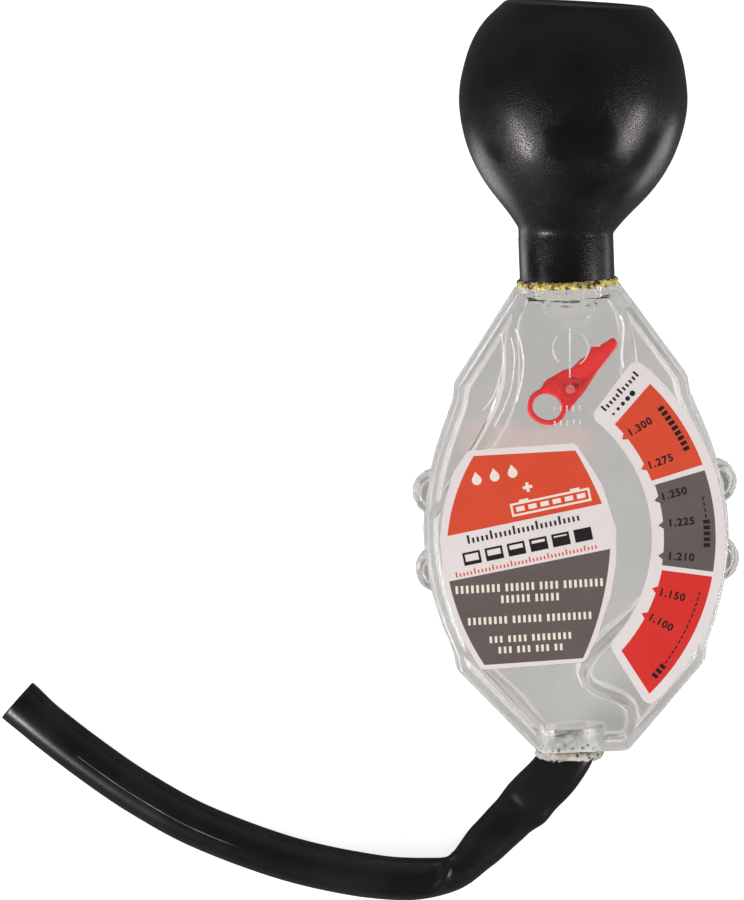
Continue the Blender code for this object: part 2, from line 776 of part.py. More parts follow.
def lay_on_back(pieces, bulb, shell):
    """Hangs the pieces from a tilted empty, so that the bulb and the shell's lower back edge meet Z = 0."""
    bpy.context.view_layer.update()
    bulb_points = points_of(bulb)
    shell_points = points_of(shell)
    every_point = [p for piece in pieces for p in points_of(piece)]

    def lowest(points, tilt):
        return min(p.y * math.sin(tilt) + p.z * math.cos(tilt) for p in points)

    flat, steep = 0.0, math.radians(45)
    for _ in range(40):
        tilt = (flat + steep) / 2
        if lowest(bulb_points, tilt) < lowest(shell_points, tilt):
            flat = tilt
        else:
            steep = tilt
    along = [p.y * math.cos(tilt) - p.z * math.sin(tilt) for p in every_point]
    frame = bpy.data.objects.new("tester_frame", None)
    TESTER.objects.link(frame)
    frame.rotation_euler.x = tilt
    frame.location = (0.0, -(min(along) + max(along)) / 2, -lowest(every_point, tilt))
    for piece in (*pieces, *CUTTERS.objects):
        piece.parent = frame
    bpy.context.view_layer.update()
    return frame


def suction_hose(frame):
    """The hose: seated in the socket, out along the housing, then down onto the ground and away."""
    seat = (HOSE_SEATED, HOSE_SEATED / 2, 0.0, -HOSE_STRAIGHT)
    start = [
        frame.matrix_world @ Vector((SOCKET_OFFSET, -HOUSING_BOTTOM + depth, 0.0)) for depth in seat
    ]
    mouth = Vector((start[2].x, start[2].y, 0.0))
    route = start + [mouth + Vector(step) for step in HOSE_ROUTE]
    points = smooth_through(route, HOSE_POINT_STEP)
    curve = bpy.data.curves.new("suction_hose", "CURVE")
    curve.dimensions = "3D"
    curve.bevel_depth = HOSE_RADIUS
    curve.bevel_resolution = 3
    curve.use_fill_caps = True
    spline = curve.splines.new("POLY")
    spline.points.add(len(points) - 1)
    for point, place in zip(spline.points, points):
        point.co = (*place, 1.0)
    spline.use_smooth = True
    return link("suction_hose", curve, BLACK_HOSE)


SHELLS = housing_shells()
BULB = squeeze_bulb()
PIECES = [
    *SHELLS,
    BULB,
    bulb_glue_bead(),
    hose_glue_bead(),
    pointer(),
    pointer_pin(),
    info_label(),
    scale_label(),
]
suction_hose(lay_on_back(PIECES, BULB, SHELLS[1]))
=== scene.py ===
"""The looks of a battery acid tester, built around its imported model.

A clear welded housing with a red pointer inside, two printed labels, a black squeeze bulb and a kinked
hose. Metres, +Z up. The tester lies on its back on a pale floor, and the camera looks straight down.
"""

import json
import math

import bmesh
import bpy
from mathutils import Matrix, Vector, noise


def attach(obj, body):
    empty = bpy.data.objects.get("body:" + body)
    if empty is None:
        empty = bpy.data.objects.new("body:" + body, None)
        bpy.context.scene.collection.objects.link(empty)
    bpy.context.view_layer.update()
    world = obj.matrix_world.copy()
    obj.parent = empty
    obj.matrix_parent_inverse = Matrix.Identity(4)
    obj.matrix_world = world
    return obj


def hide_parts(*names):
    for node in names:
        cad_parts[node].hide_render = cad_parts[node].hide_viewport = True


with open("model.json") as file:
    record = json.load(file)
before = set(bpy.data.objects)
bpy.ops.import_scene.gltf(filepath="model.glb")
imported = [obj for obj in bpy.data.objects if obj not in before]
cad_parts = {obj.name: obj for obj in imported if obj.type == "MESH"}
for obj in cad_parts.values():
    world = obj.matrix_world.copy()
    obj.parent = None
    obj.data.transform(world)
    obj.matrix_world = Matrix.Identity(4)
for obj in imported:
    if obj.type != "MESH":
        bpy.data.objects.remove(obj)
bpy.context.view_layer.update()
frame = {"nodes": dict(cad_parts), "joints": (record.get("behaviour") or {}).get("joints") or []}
MM = 0.001

# ---------------------------------------------------------------- Housing frame
# Nearly every piece is drawn in the housing's own frame, as the maker's drawing has it: X across, Y towards
# the bulb, Z out of the labelled face, and zero in the middle of the glued seam. The pointer's hinge gives
# where that frame lies, because the hinge's axis is its Z and the pivot's place in it is known.
PIVOT = Vector((-0.5, 33.6, 0.0)) * MM
hinge = frame["joints"][0]
hinge_axis = Vector(hinge["axis"])
tilt = Matrix.Rotation(math.atan2(-hinge_axis.y, hinge_axis.z), 4, "X")
HOUSING = Matrix.Translation(Vector(hinge["pos_m"]) - tilt @ PIVOT) @ tilt
INTO_HOUSING = HOUSING.inverted()

# ---------------------------------------------------------------- Camera
# A long lens straight above the tester, turned a little, with the hose's cut end at the frame's left edge
# and the bulb's flat end at its top.
CAMERA_HEIGHT = 1255 * MM
CAMERA_OVER = (-46.46 * MM, -14.46 * MM)
CAMERA_TURN = math.radians(-2.26)
CAMERA_SENSOR = 36.0
CAMERA_LENS = 214.4
NEAREST_SEEN = 10 * MM
FARTHEST_SEEN = 20.0
camera = bpy.data.objects.new("camera", bpy.data.cameras.new("camera"))
bpy.context.scene.collection.objects.link(camera)
bpy.context.scene.camera = camera
camera.location = (*CAMERA_OVER, CAMERA_HEIGHT)
camera.rotation_euler = (0.0, 0.0, CAMERA_TURN)
camera.data.sensor_width = CAMERA_SENSOR
camera.data.lens = CAMERA_LENS
camera.data.clip_start = NEAREST_SEEN
camera.data.clip_end = FARTHEST_SEEN
bpy.context.scene.view_settings.view_transform = "Standard"


# ---------------------------------------------------------------- Floor, world and lamps
# A pale studio table that photographs white, with a faint contact shadow. Two soft boxes stand low to the
# left and right in front of the tester, and the room gives the rest of the light.
class Wire:
    """What a shader node gives. Arithmetic on wires adds Math nodes, and `node` adds any other node."""

    def __init__(self, tree, socket=None):
        self.tree = tree
        self.socket = socket

    def node(self, kind, settings=None, sockets=None, output=0):
        """A new node with its settings and its sockets' values or wires, as the wire of one output."""
        made = self.tree.nodes.new("ShaderNode" + kind)
        for name, value in (settings or {}).items():
            setattr(made, name, value)
        for key, value in (sockets or {}).items():
            if isinstance(value, Wire):
                self.tree.links.new(value.socket, made.inputs[key])
            else:
                made.inputs[key].default_value = value
        return Wire(self.tree, made.outputs[output])

    def maths(self, operation, *others):
        """A Math node on the wire and what follows it."""
        return self.node("Math", {"operation": operation}, dict(enumerate((self, *others))))

    def __add__(self, other):
        return self.maths("ADD", other)

    def __sub__(self, other):
        return self.maths("SUBTRACT", other)

    def __rsub__(self, other):
        return self.node("Math", {"operation": "SUBTRACT"}, {0: other, 1: self})

    def __mul__(self, other):
        return self.maths("MULTIPLY", other)

    __radd__ = __add__
    __rmul__ = __mul__

    def between(self, low, high):
        """0 where the wire is at low or under it, 1 where it is at high, and smooth between them."""
        settings = {"interpolation_type": "SMOOTHSTEP"}
        return self.node("MapRange", settings, {"Value": self, "From Min": low, "From Max": high})

    def within(self, rise, fall):
        """1 inside a band with soft sides, each side given by two places."""
        return self.between(*rise) * (1.0 - self.between(*fall))

    def tint(self, first, second):
        """The wire as a mask between two colours."""
        colours = [c if isinstance(c, Wire) else (*c, 1.0) for c in (first, second)]
        return self.node("Mix", {"data_type": "RGBA"}, {0: self, 6: colours[0], 7: colours[1]}, output=2)


def new_finish(name):
    """A new material, the wire that its nodes start from, and the wire of the places on its piece."""
    made = bpy.data.materials.new(name)
    made.use_nodes = True
    wire = Wire(made.node_tree)
    return made, wire, wire.node("TexCoord", output="Object")


def rays_of(wire):
    """Two masks: for what is seen straight or through clear plastic, and for what opaque faces mirror."""
    straight, bent, mirrored, crossed = (
        wire.node("LightPath", output=name)
        for name in ("Is Camera Ray", "Is Transmission Ray", "Is Glossy Ray", "Transmission Depth")
    )
    inside = mirrored * crossed.maths("GREATER_THAN", 0.5)
    seen = straight.maths("MAXIMUM", bent.maths("MAXIMUM", inside))
    return seen, mirrored - inside


FLOOR_SIZE = 8.0
FLOOR_GREY = (0.75, 0.75, 0.75, 1.0)
FLOOR_MIRRORED = (0.16, 0.16, 0.16, 1.0)
FLOOR_LIFT = 0.70
# Painted pools of light: glowing patches on the floor that only the black rubber mirrors, where they paint
# the highlight streaks on the bulb's sides. A middle and a radius each, in metres
LIGHT_POOLS = (((-0.050, 0.030, 0.0), 0.026), ((0.078, 0.018, 0.0), 0.040))
POOL_CORE_SHARE = 0.4
POOL_LEVEL = 2.7
bpy.ops.object.select_all(action="DESELECT")
bpy.ops.mesh.primitive_plane_add(size=FLOOR_SIZE, location=(0.0, 0.0, 0.0))
floor = bpy.context.object
floor.name = "floor"
table_top, wire, place = new_finish("table_top")
seen, mirrored = rays_of(wire)
paint = wire.node("BsdfDiffuse", sockets={"Color": FLOOR_GREY})
glow = wire.node("Emission", sockets={"Strength": seen * FLOOR_LIFT})
lit = wire.node("AddShader", sockets={0: paint, 1: glow})
dull = wire.node("BsdfDiffuse", sockets={"Color": FLOOR_MIRRORED})
pools = 0.0
for middle, radius in LIGHT_POOLS:
    away = wire.node("VectorMath", {"operation": "DISTANCE"}, {0: place, 1: middle}, output="Value")
    pools = pools + (1.0 - away.between(POOL_CORE_SHARE * radius, radius))
glare = wire.node("Emission", sockets={"Strength": pools * POOL_LEVEL})
dull = wire.node("AddShader", sockets={0: dull, 1: glare})
both = wire.node("MixShader", sockets={0: mirrored, 1: lit, 2: dull})
output = table_top.node_tree.nodes["Material Output"]
table_top.node_tree.links.new(both.socket, output.inputs["Surface"])
floor.data.materials.append(table_top)

ROOM_LEVEL = 0.5
CEILING_LEVEL = 0.06
BACK_WALL_LEVEL = 0.3
SKYLIGHT_LEVEL = 0.3
# From where to where a direction's upward and backward shares count as overhead and as the rear
OVERHEAD = (0.5, 0.85)
REAR = (0.2, 0.95)
world = bpy.data.worlds.new("studio")
bpy.context.scene.world = world
world.use_nodes = True
wire = Wire(world.node_tree)
seen, mirrored = rays_of(wire)
incoming = wire.node("NewGeometry", output="Incoming")
away_y, away_z = (wire.node("SeparateXYZ", sockets={0: incoming}, output=axis) * -1.0 for axis in "YZ")
overhead = away_z.between(*OVERHEAD)
rear = away_y.between(*REAR)
backdrop = ROOM_LEVEL + seen * (1.0 - ROOM_LEVEL - overhead * (1.0 - SKYLIGHT_LEVEL))
backdrop = backdrop + mirrored * (CEILING_LEVEL - ROOM_LEVEL + rear * BACK_WALL_LEVEL)
world.node_tree.links.new(backdrop.socket, world.node_tree.nodes["Background"].inputs["Strength"])
world.node_tree.nodes["Background"].inputs["Color"].default_value = (1.0, 1.0, 1.0, 1.0)

LAMP_DISTANCE = 1.1
# Name, azimuth and elevation in degrees, width and height in metres, and watts
LAMPS = (
    ("left_soft_box", -153.0, 23.5, (0.60, 0.30), 6.0),
    ("left_inner_box", -144.0, 24.5, (0.22, 0.20), 3.6),
    ("right_soft_box", -24.0, 21.5, (0.66, 0.30), 7.6),
)
for name, azimuth, elevation, size, power in LAMPS:
    light = bpy.data.lights.new(name, "AREA")
    light.shape = "ELLIPSE"
    light.size, light.size_y = size
    light.energy = power
    lamp = bpy.data.objects.new(name, light)
    bpy.context.scene.collection.objects.link(lamp)
    turn, rise = math.radians(azimuth), math.radians(elevation)
    direction = Vector((math.cos(turn) * math.cos(rise), math.sin(turn) * math.cos(rise), math.sin(rise)))
    lamp.location = direction * LAMP_DISTANCE
    lamp.rotation_euler = direction.to_track_quat("Z", "Y").to_euler()


# ---------------------------------------------------------------- Suction hose
# Glossy black PVC, 9.6 mm outside, pushed 5 mm into the housing's slot, which presses it oval. It is kinked
# 4 cm from there, lies on the table in one loose curve, and ends in a plain straight cut. Its extruder left
# one fine raised line on it, and that line's pale colour is a painted highlight where it catches the light.
def smooth_through(points, step):
    """Points at even steps along a smooth curve through the given points."""
    points = [Vector(p) for p in points]
    ends = [points[0] * 2 - points[1], *points, points[-1] * 2 - points[-2]]
    dense = []
    for before, start, stop, after in zip(ends, ends[1:], ends[2:], ends[3:]):
        count = math.ceil((stop - start).length / step) * 4
        for i in range(count):
            t = i / count
            leave = (stop - before) / 2 * (t**3 - 2 * t**2 + t)
            arrive = (after - start) / 2 * (t**3 - t**2)
            rise = 3 * t**2 - 2 * t**3
            dense.append(start * (1 - rise) + stop * rise + leave + arrive)
    dense.append(points[-1])
    lengths = [0.0]
    for a, b in zip(dense, dense[1:]):
        lengths.append(lengths[-1] + (b - a).length)
    steps = max(2, round(lengths[-1] / step))
    found = []
    k = 0
    for i in range(steps + 1):
        wanted = lengths[-1] * i / steps
        while k < len(dense) - 2 and lengths[k + 1] < wanted:
            k += 1
        share = (wanted - lengths[k]) / (lengths[k + 1] - lengths[k])
        found.append(dense[k].lerp(dense[k + 1], min(1.0, share)))
    return found


HOSE_RADIUS = 4.82 * MM
HOSE_WALL = 1.4 * MM
HOSE_REST = 4.75 * MM
HOUSING_BOTTOM = 51.7 * MM
HOSE_SEAT = (5.0 * MM, 2.5 * MM, 0.0)
HOSE_OFFSET = -3.4 * MM
HOSE_ROUTE = (
    (-3.7 * MM, -5.4 * MM, 6.75 * MM),
    (-8.4 * MM, -9.9 * MM, 6.0 * MM),
    (-15.5 * MM, -16.7 * MM, 5.15 * MM),
    (-22.8 * MM, -23.2 * MM, HOSE_REST),
    (-29.2 * MM, -27.4 * MM, HOSE_REST),
    (-38.5 * MM, -28.6 * MM, HOSE_REST),
    (-52.1 * MM, -26.6 * MM, HOSE_REST),
    (-68.2 * MM, -22.1 * MM, HOSE_REST),
    (-86.5 * MM, -14.4 * MM, HOSE_REST),
    (-99.6 * MM, -6.6 * MM, HOSE_REST),
    (-110.0 * MM, 1.0 * MM, HOSE_REST),
    (-120.8 * MM, 9.9 * MM, HOSE_REST),
    (-127.9 * MM, 16.6 * MM, HOSE_REST),
)
HOSE_RING_STEP = 0.6 * MM
HOSE_RING_POINTS = 48
# Places along the hose, and its half width and half height there, all in millimetres
HOSE_OVALS = (
    (0.0, 6.0, 3.45),
    (20.0, 6.0, 3.45),
    (26.3, 5.4, 3.65),
    (33.2, 5.15, 3.9),
    (39.5, 4.8, 4.15),
    (47.3, 4.7, 4.4),
    (56.8, 5.05, 4.6),
    (68.5, 5.22, 4.7),
    (150.0, 5.22, 4.7),
    (157.4, 5.5, 4.55),
)
HOSE_BORE_SHOWN = 14 * MM
HOSE_CUT_EDGE = 0.25 * MM
HOSE_SHARP_FROM = math.radians(50)

seat = [HOUSING @ Vector((HOSE_OFFSET, depth - HOUSING_BOTTOM, 0.0)) for depth in HOSE_SEAT]
mouth = seat[-1]
route = [Vector((mouth.x, mouth.y, 0.0)) + Vector(step) for step in HOSE_ROUTE]
hose_path = smooth_through(seat + route, HOSE_RING_STEP)


def hose_oval(travelled):
    """Half width and half height of the hose: oval in its slot, narrow at the kink, a little flat past it."""
    rows = list(zip(HOSE_OVALS, HOSE_OVALS[1:]))
    start, stop = next((pair for pair in rows if travelled < pair[1][0] * MM), rows[-1])
    share = min(1.0, (travelled / MM - start[0]) / (stop[0] - start[0]))
    share = share * share * (3 - 2 * share)
    return [(low + (high - low) * share) * MM for low, high in zip(start[1:], stop[1:])]


# Where each dent and swelling lies along the hose, how high it is and how far it spreads. The sides are
# angles round the wall, from the outside of the bend over the top.
OUTER_SIDE = math.radians(12)
UPPER_SIDE = math.radians(112)
INNER_SIDE = math.radians(172)
KINK_AT = 43.0 * MM
KINK_DEPTH = 1.5 * MM
KINK_SPREAD = 4.6 * MM
FOLD_AT = 46.4 * MM
FOLD_SLANT = 4.4 * MM
FOLD_HEIGHT = 1.7 * MM
FOLD_SPREAD = 1.25 * MM
GROOVE_AT = 49.0 * MM
GROOVE_DEPTH = 0.68 * MM
GROOVE_SPREAD = 1.8 * MM
BULGE_AT = 21.5 * MM
BULGE_HEIGHT = 0.45 * MM
BULGE_SPREAD = 2.8 * MM
DIMPLE_AT = 23.0 * MM
DIMPLE_DEPTH = 0.65 * MM
DIMPLE_SPREAD = 1.7 * MM


def bump_at(value, middle, spread):
    """A smooth bump that is 1 in its middle."""
    return math.exp(-(((value - middle) / spread) ** 2))


def facing(angle, side):
    """How much the wall at an angle faces one side, from 0 to 1."""
    return max(0.0, math.cos(angle - side))


def hose_dent(travelled, angle):
    """How far the wall stands out: the crease inside the bend, the fold across it, a bulge and a dimple."""
    crease = KINK_DEPTH * facing(angle, INNER_SIDE) ** 2 * bump_at(travelled, KINK_AT, KINK_SPREAD)
    slanted = travelled - FOLD_SLANT * math.cos(angle)
    over_top = max(0.0, math.sin(angle)) * (0.5 - 0.5 * math.cos(angle))
    fold = FOLD_HEIGHT * bump_at(slanted, FOLD_AT, FOLD_SPREAD)
    groove = GROOVE_DEPTH * bump_at(slanted, GROOVE_AT, GROOVE_SPREAD)
    bulge = BULGE_HEIGHT * facing(angle, OUTER_SIDE) ** 3 * bump_at(travelled, BULGE_AT, BULGE_SPREAD)
    dimple = DIMPLE_DEPTH * facing(angle, UPPER_SIDE) ** 6 * bump_at(travelled, DIMPLE_AT, DIMPLE_SPREAD)
    return (fold - groove) * over_top + bulge - crease - dimple


LINE_FROM = 95 * MM
LINE_UNTIL = 139 * MM
LINE_ASIDE = -0.83 * MM
LINE_RADIUS = 0.11 * MM
hose_shape = bmesh.new()
travelled = 0.0
rings = []
line_path = []
for i, middle in enumerate(hose_path):
    ahead = hose_path[min(i + 1, len(hose_path) - 1)]
    behind = hose_path[max(i - 1, 0)]
    along = (ahead - behind).normalized()
    side = along.cross(Vector((0.0, 0.0, 1.0))).normalized()
    up = side.cross(along)
    half_width, half_height = hose_oval(travelled)
    ring = []
    for k in range(HOSE_RING_POINTS):
        angle = math.tau * k / HOSE_RING_POINTS
        out = hose_dent(travelled, math.pi - angle)
        across = side * ((half_width + out) * math.cos(angle))
        ring.append(hose_shape.verts.new(middle + across + up * ((half_height + out) * math.sin(angle))))
    rings.append(ring)
    if LINE_FROM < travelled < LINE_UNTIL:
        rise = half_height * math.sqrt(1 - (LINE_ASIDE / half_width) ** 2)
        line_path.append(middle + side * LINE_ASIDE + up * rise)
    travelled += (ahead - middle).length
end_along = (hose_path[-1] - hose_path[-2]).normalized()
for radius, back in (
    (HOSE_RADIUS - HOSE_CUT_EDGE, -HOSE_CUT_EDGE),
    (HOSE_RADIUS - HOSE_WALL + HOSE_CUT_EDGE, -HOSE_CUT_EDGE),
    (HOSE_RADIUS - HOSE_WALL, 0.0),
    (HOSE_RADIUS - HOSE_WALL, HOSE_BORE_SHOWN),
):
    middle = hose_path[-1] - end_along * back
    share = radius / HOSE_RADIUS
    rings.append([hose_shape.verts.new(middle + (vertex.co - hose_path[-1]) * share) for vertex in ring])
for first, second in zip(rings, rings[1:]):
    for k in range(HOSE_RING_POINTS):
        m = (k + 1) % HOSE_RING_POINTS
        hose_shape.faces.new((first[k], first[m], second[m], second[k]))
hose_shape.faces.new(rings[0][::-1])
hose_shape.faces.new(rings[-1])
bmesh.ops.recalc_face_normals(hose_shape, faces=hose_shape.faces)
hose_mesh = bpy.data.meshes.new("suction_tube")
hose_shape.to_mesh(hose_mesh)
hose_shape.free()
hose_mesh.shade_smooth()
hose_mesh.set_sharp_from_angle(angle=HOSE_SHARP_FROM)
hose = bpy.data.objects.new("suction_tube", hose_mesh)
bpy.context.scene.collection.objects.link(hose)


def shade(material, sockets):
    """Sets the Principled shader's sockets from values and wires."""
    shader = material.node_tree.nodes["Principled BSDF"]
    for name, value in sockets.items():
        if isinstance(value, Wire):
            material.node_tree.links.new(value.socket, shader.inputs[name])
        else:
            shader.inputs[name].default_value = value


black_pvc, wire, place = new_finish("black_pvc")
cloudy = wire.node("TexNoise", sockets={"Vector": place, "Scale": 90.0, "Detail": 3.0})
grain = wire.node("TexNoise", sockets={"Vector": place, "Scale": 1800.0, "Detail": 2.0})
shade(
    black_pvc,
    {
        "Base Color": cloudy.between(0.35, 0.75).tint((0.0055, 0.0055, 0.0055), (0.0105, 0.0105, 0.010)),
        "Roughness": 0.20 + 0.16 * cloudy,
        "Normal": wire.node("Bump", sockets={"Strength": 0.05, "Distance": 0.2 * MM, "Height": grain}),
        "IOR": 1.5,
    },
)
hose_mesh.materials.append(black_pvc)
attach(hose, "tester")
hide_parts("suction_hose")


def take_up(piece):
    """Selects one piece alone, for the operators that follow."""
    bpy.ops.object.select_all(action="DESELECT")
    piece.select_set(True)
    bpy.context.view_layer.objects.active = piece


def mesh_of_lines(name, lines, radii=(), closed=False, **settings):
    """A mesh piece from a curve's straight-sided lines and its settings."""
    curve = bpy.data.curves.new(name, "CURVE")
    for setting, value in settings.items():
        setattr(curve, setting, value)
    for line in lines:
        spline = curve.splines.new("POLY")
        spline.points.add(len(line) - 1)
        for point, place in zip(spline.points, line):
            point.co = (*place, 1.0)
        for point, radius in zip(spline.points, radii):
            point.radius = radius
        spline.use_cyclic_u = closed
    made = bpy.data.objects.new(name, curve)
    bpy.context.scene.collection.objects.link(made)
    take_up(made)
    bpy.ops.object.convert(target="MESH")
    return bpy.context.object


ROUND_LINE = {"dimensions": "3D", "bevel_resolution": 3, "use_fill_caps": True}
count = len(line_path)
taper = [math.sqrt(math.sin(math.pi * (i + 0.5) / count)) for i in range(count)]
hose_line = mesh_of_lines("hose_extrusion_line", [line_path], taper, bevel_depth=LINE_RADIUS, **ROUND_LINE)
hose_line.data.shade_smooth()
# Painted highlight: the raised line's pale colour stands in for the light it catches.
pvc_line_painted_highlight, wire, place = new_finish("pvc_line_painted_highlight")
line_highlight_noise = wire.node("TexNoise", sockets={"Vector": place, "Scale": 260.0, "Detail": 3.0})
shade(
    pvc_line_painted_highlight,
    {
        "Base Color": line_highlight_noise.between(0.35, 0.65).tint((0.09, 0.087, 0.083), (0.24, 0.23, 0.22)),
        "Roughness": 0.3 + 0.2 * line_highlight_noise,
    },
)
hose_line.data.materials.append(pvc_line_painted_highlight)
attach(hose_line, "tester")

# ---------------------------------------------------------------- Housing halves
# Two clear injection-moulded trays, welded along their flanges, with the channel walls, the baffle and the
# posts for the pointer moulded inside. The clear plastic is slightly grey, and its edges catch the light. The
# back half's flat faces, neck and post are tinted much darker: that is painted shade, the shaded floor seen
# through the housing, which throws no shadow.
# Painted reflection: the label's red, tinged into the back window in a band beside the label.
LABEL_RED_PAINTED_REFLECTION = (0.505, 0.415, 0.405)


def housing_place(wire, place):
    """Object coordinates in the housing's own frame, in millimetres, and their X and Y alone."""
    origin = tuple(HOUSING.to_translation())
    moved = wire.node("VectorMath", {"operation": "SUBTRACT"}, {0: place, 1: origin})
    turned_back = tuple(INTO_HOUSING.to_euler())
    to_mm = (1 / MM, 1 / MM, 1 / MM)
    local = wire.node("Mapping", sockets={"Vector": moved, "Rotation": turned_back, "Scale": to_mm})
    split = {axis: wire.node("SeparateXYZ", sockets={0: local}, output=axis) for axis in "XYZ"}
    return local, split["X"], split["Y"]


def clear_finish(name, dark, light, haze, clarity, ior=1.49, label_reflection=False):
    """Clear moulded plastic between two tints, faintly wavy and scuffed. A band of it can carry a painted
    reflection of the label's red.
    """
    made, wire, place = new_finish(name)
    flow = wire.node("TexNoise", sockets={"Vector": place, "Scale": 45.0, "Detail": 2.0})
    scuffs = wire.node("TexNoise", sockets={"Vector": place, "Scale": 700.0, "Detail": 4.0})
    tint = flow.tint(dark, light)
    if label_reflection:
        x, y = housing_place(wire, place)[1:]
        painted_reflection_band = y.within((17.0, 19.5), (23.0, 27.5)) * x.within((-30.0, -19.0), (-1.0, 8.0))
        tint = painted_reflection_band.tint(tint, LABEL_RED_PAINTED_REFLECTION)
    shade(
        made,
        {
            "Base Color": tint,
            "Roughness": haze + 0.05 * scuffs.between(0.5, 0.75),
            "Transmission Weight": clarity,
            "IOR": ior,
            "Normal": wire.node("Bump", sockets={"Strength": 0.1, "Distance": 1.0 * MM, "Height": flow}),
        },
    )
    return made


FRONT_TINTS = ((0.86, 0.855, 0.84), (0.91, 0.905, 0.89))
# The back tints are much darker than the front's: painted shade for the shaded floor seen through them.
BACK_TINTS_AND_PAINTED_SHADE = ((0.380, 0.376, 0.370), (0.430, 0.425, 0.417))
clear_rim = clear_finish("clear_rims_and_walls", (0.72, 0.71, 0.70), (0.81, 0.795, 0.785), 0.16, 0.75)
front_window = clear_finish("clear_front_window", *FRONT_TINTS, 0.02, 1.0)
back_window = clear_finish("clear_back_window_painted_shade", *BACK_TINTS_AND_PAINTED_SHADE, 0.02, 1.0, label_reflection=True)
front_round = clear_finish("clear_front_neck_and_post", *FRONT_TINTS, 0.06, 1.0, ior=1.12)
back_round = clear_finish("clear_back_neck_and_post_painted_shade", *BACK_TINTS_AND_PAINTED_SHADE, 0.06, 1.0, ior=1.12)
POST_REACH = 4.2 * MM
NECK_FOOT = 38.0 * MM
NECK_HALF_WIDTH = 9.4 * MM
FACE_HEIGHT = 8.0 * MM
# The share of a face's normal that points straight up, for a window and for a dead level face
WINDOW_FROM_SHARE = 0.93
LEVEL_FROM_SHARE = 0.999
MERGE_WITHIN = 0.002 * MM
FLAT_WITHIN = math.radians(0.6)
EDGE_WIDTH = 0.22 * MM
EDGE_FROM = math.radians(40)
SHARP_FROM_DEGREES = 32


def smooth_piece(piece, angle):
    """Smooth shading, apart from edges sharper than an angle in degrees."""
    take_up(piece)
    bpy.ops.object.shade_smooth_by_angle(angle=math.radians(angle))


def round_edges(piece, width, segments, material=-1):
    """Rounds a piece's sharp edges and shades the rest smooth."""
    take_up(piece)
    bevel = piece.modifiers.new("edges", "BEVEL")
    bevel.width = width
    bevel.segments = segments
    bevel.limit_method = "ANGLE"
    bevel.angle_limit = EDGE_FROM
    bevel.material = material
    bpy.ops.object.modifier_apply(modifier=bevel.name)
    smooth_piece(piece, SHARP_FROM_DEGREES)


def copy_of(node, name):
    """A copy of a CAD node as a piece of its own, with its loose triangles merged into flat faces."""
    made = bpy.data.objects.new(name, frame["nodes"][node].data.copy())
    bpy.context.scene.collection.objects.link(made)
    take_up(made)
    bpy.ops.object.mode_set(mode="EDIT")
    bpy.ops.mesh.select_all(action="SELECT")
    bpy.ops.mesh.remove_doubles(threshold=MERGE_WITHIN)
    bpy.ops.mesh.dissolve_limited(angle_limit=FLAT_WITHIN)
    bpy.ops.object.mode_set(mode="OBJECT")
    made.data.materials.clear()
    return made


for node, name, flat, curved in (
    ("front_shell", "front_half", front_window, front_round),
    ("back_shell", "back_half", back_window, back_round),
):
    half = copy_of(node, name)
    for plastic in (clear_rim, flat, curved):
        half.data.materials.append(plastic)
    for face in half.data.polygons:
        spot = INTO_HOUSING @ face.center
        upright = abs((INTO_HOUSING.to_3x3() @ face.normal).z)
        at_post = (spot.xy - PIVOT.xy).length < POST_REACH
        in_neck = spot.y > NECK_FOOT and abs(spot.x) < NECK_HALF_WIDTH
        bulging = upright < LEVEL_FROM_SHARE or abs(spot.z) > FACE_HEIGHT + 0.1 * MM
        if (at_post or in_neck) and bulging:
            face.material_index = 2
        elif upright > WINDOW_FROM_SHARE:
            face.material_index = 1
    round_edges(half, EDGE_WIDTH, segments=2, material=0)
    half.visible_shadow = False
    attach(half, "tester")
    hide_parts(node)

# ---------------------------------------------------------------- Squeeze bulb
# Moulded black rubber: a straight collar pushed over the housing's neck, and a pear-shaped bulb with a flat
# end that leans a little. Satin, with a fine crackle that breaks the highlights.
BULB_RADIUS = 26.2 * MM
BULB_HEIGHT = 52.7 * MM
# Rows of a radius and a height above the collar, as shares of the bulb's radius and height
BULB_SHARES = (
    (0.425, 0.016),
    (0.500, 0.066),
    (0.590, 0.118),
    (0.705, 0.184),
    (0.803, 0.254),
    (0.876, 0.322),
    (0.930, 0.390),
    (0.974, 0.470),
    (0.998, 0.550),
    (0.997, 0.625),
    (0.974, 0.700),
    (0.940, 0.772),
    (0.886, 0.842),
    (0.802, 0.910),
    (0.686, 0.972),
    (0.648, 0.992),
)
BULB_WALL = 1.8 * MM
BULB_LEAN = math.radians(5.2)
BULB_TURN_POINTS = 128
OUTSIDE_STEP = 1.4 * MM
INSIDE_STEP = 4.0 * MM
COLLAR_RADIUS = 10.95 * MM
COLLAR_FOOT = 58.3 * MM
COLLAR_TOP = 69.1 * MM
COLLAR_ROUNDING = 0.35 * MM
CREASE_FROM = 0.9 * MM
CREASE_HALF_HEIGHT = 0.2 * MM
CREASE_DEPTH = 0.1 * MM
NECK_RADIUS = 9.1 * MM
NECK_GAP = 0.3 * MM
END_RADIUS = 16.3 * MM
# The flat end's rim, as places inside its edge and below its top, and its dish, as radii and depths
END_RIM = ((0.0, 0.15 * MM), (0.5 * MM, 0.0), (1.2 * MM, 0.1 * MM), (2.0 * MM, 0.5 * MM))
END_DISH = ((END_RADIUS / 2, 0.8 * MM), (1.5 * MM, 1.0 * MM))
INNER_POLE = 2.0 * MM
ALONG_Y = Matrix.Rotation(math.radians(-90), 4, "X")


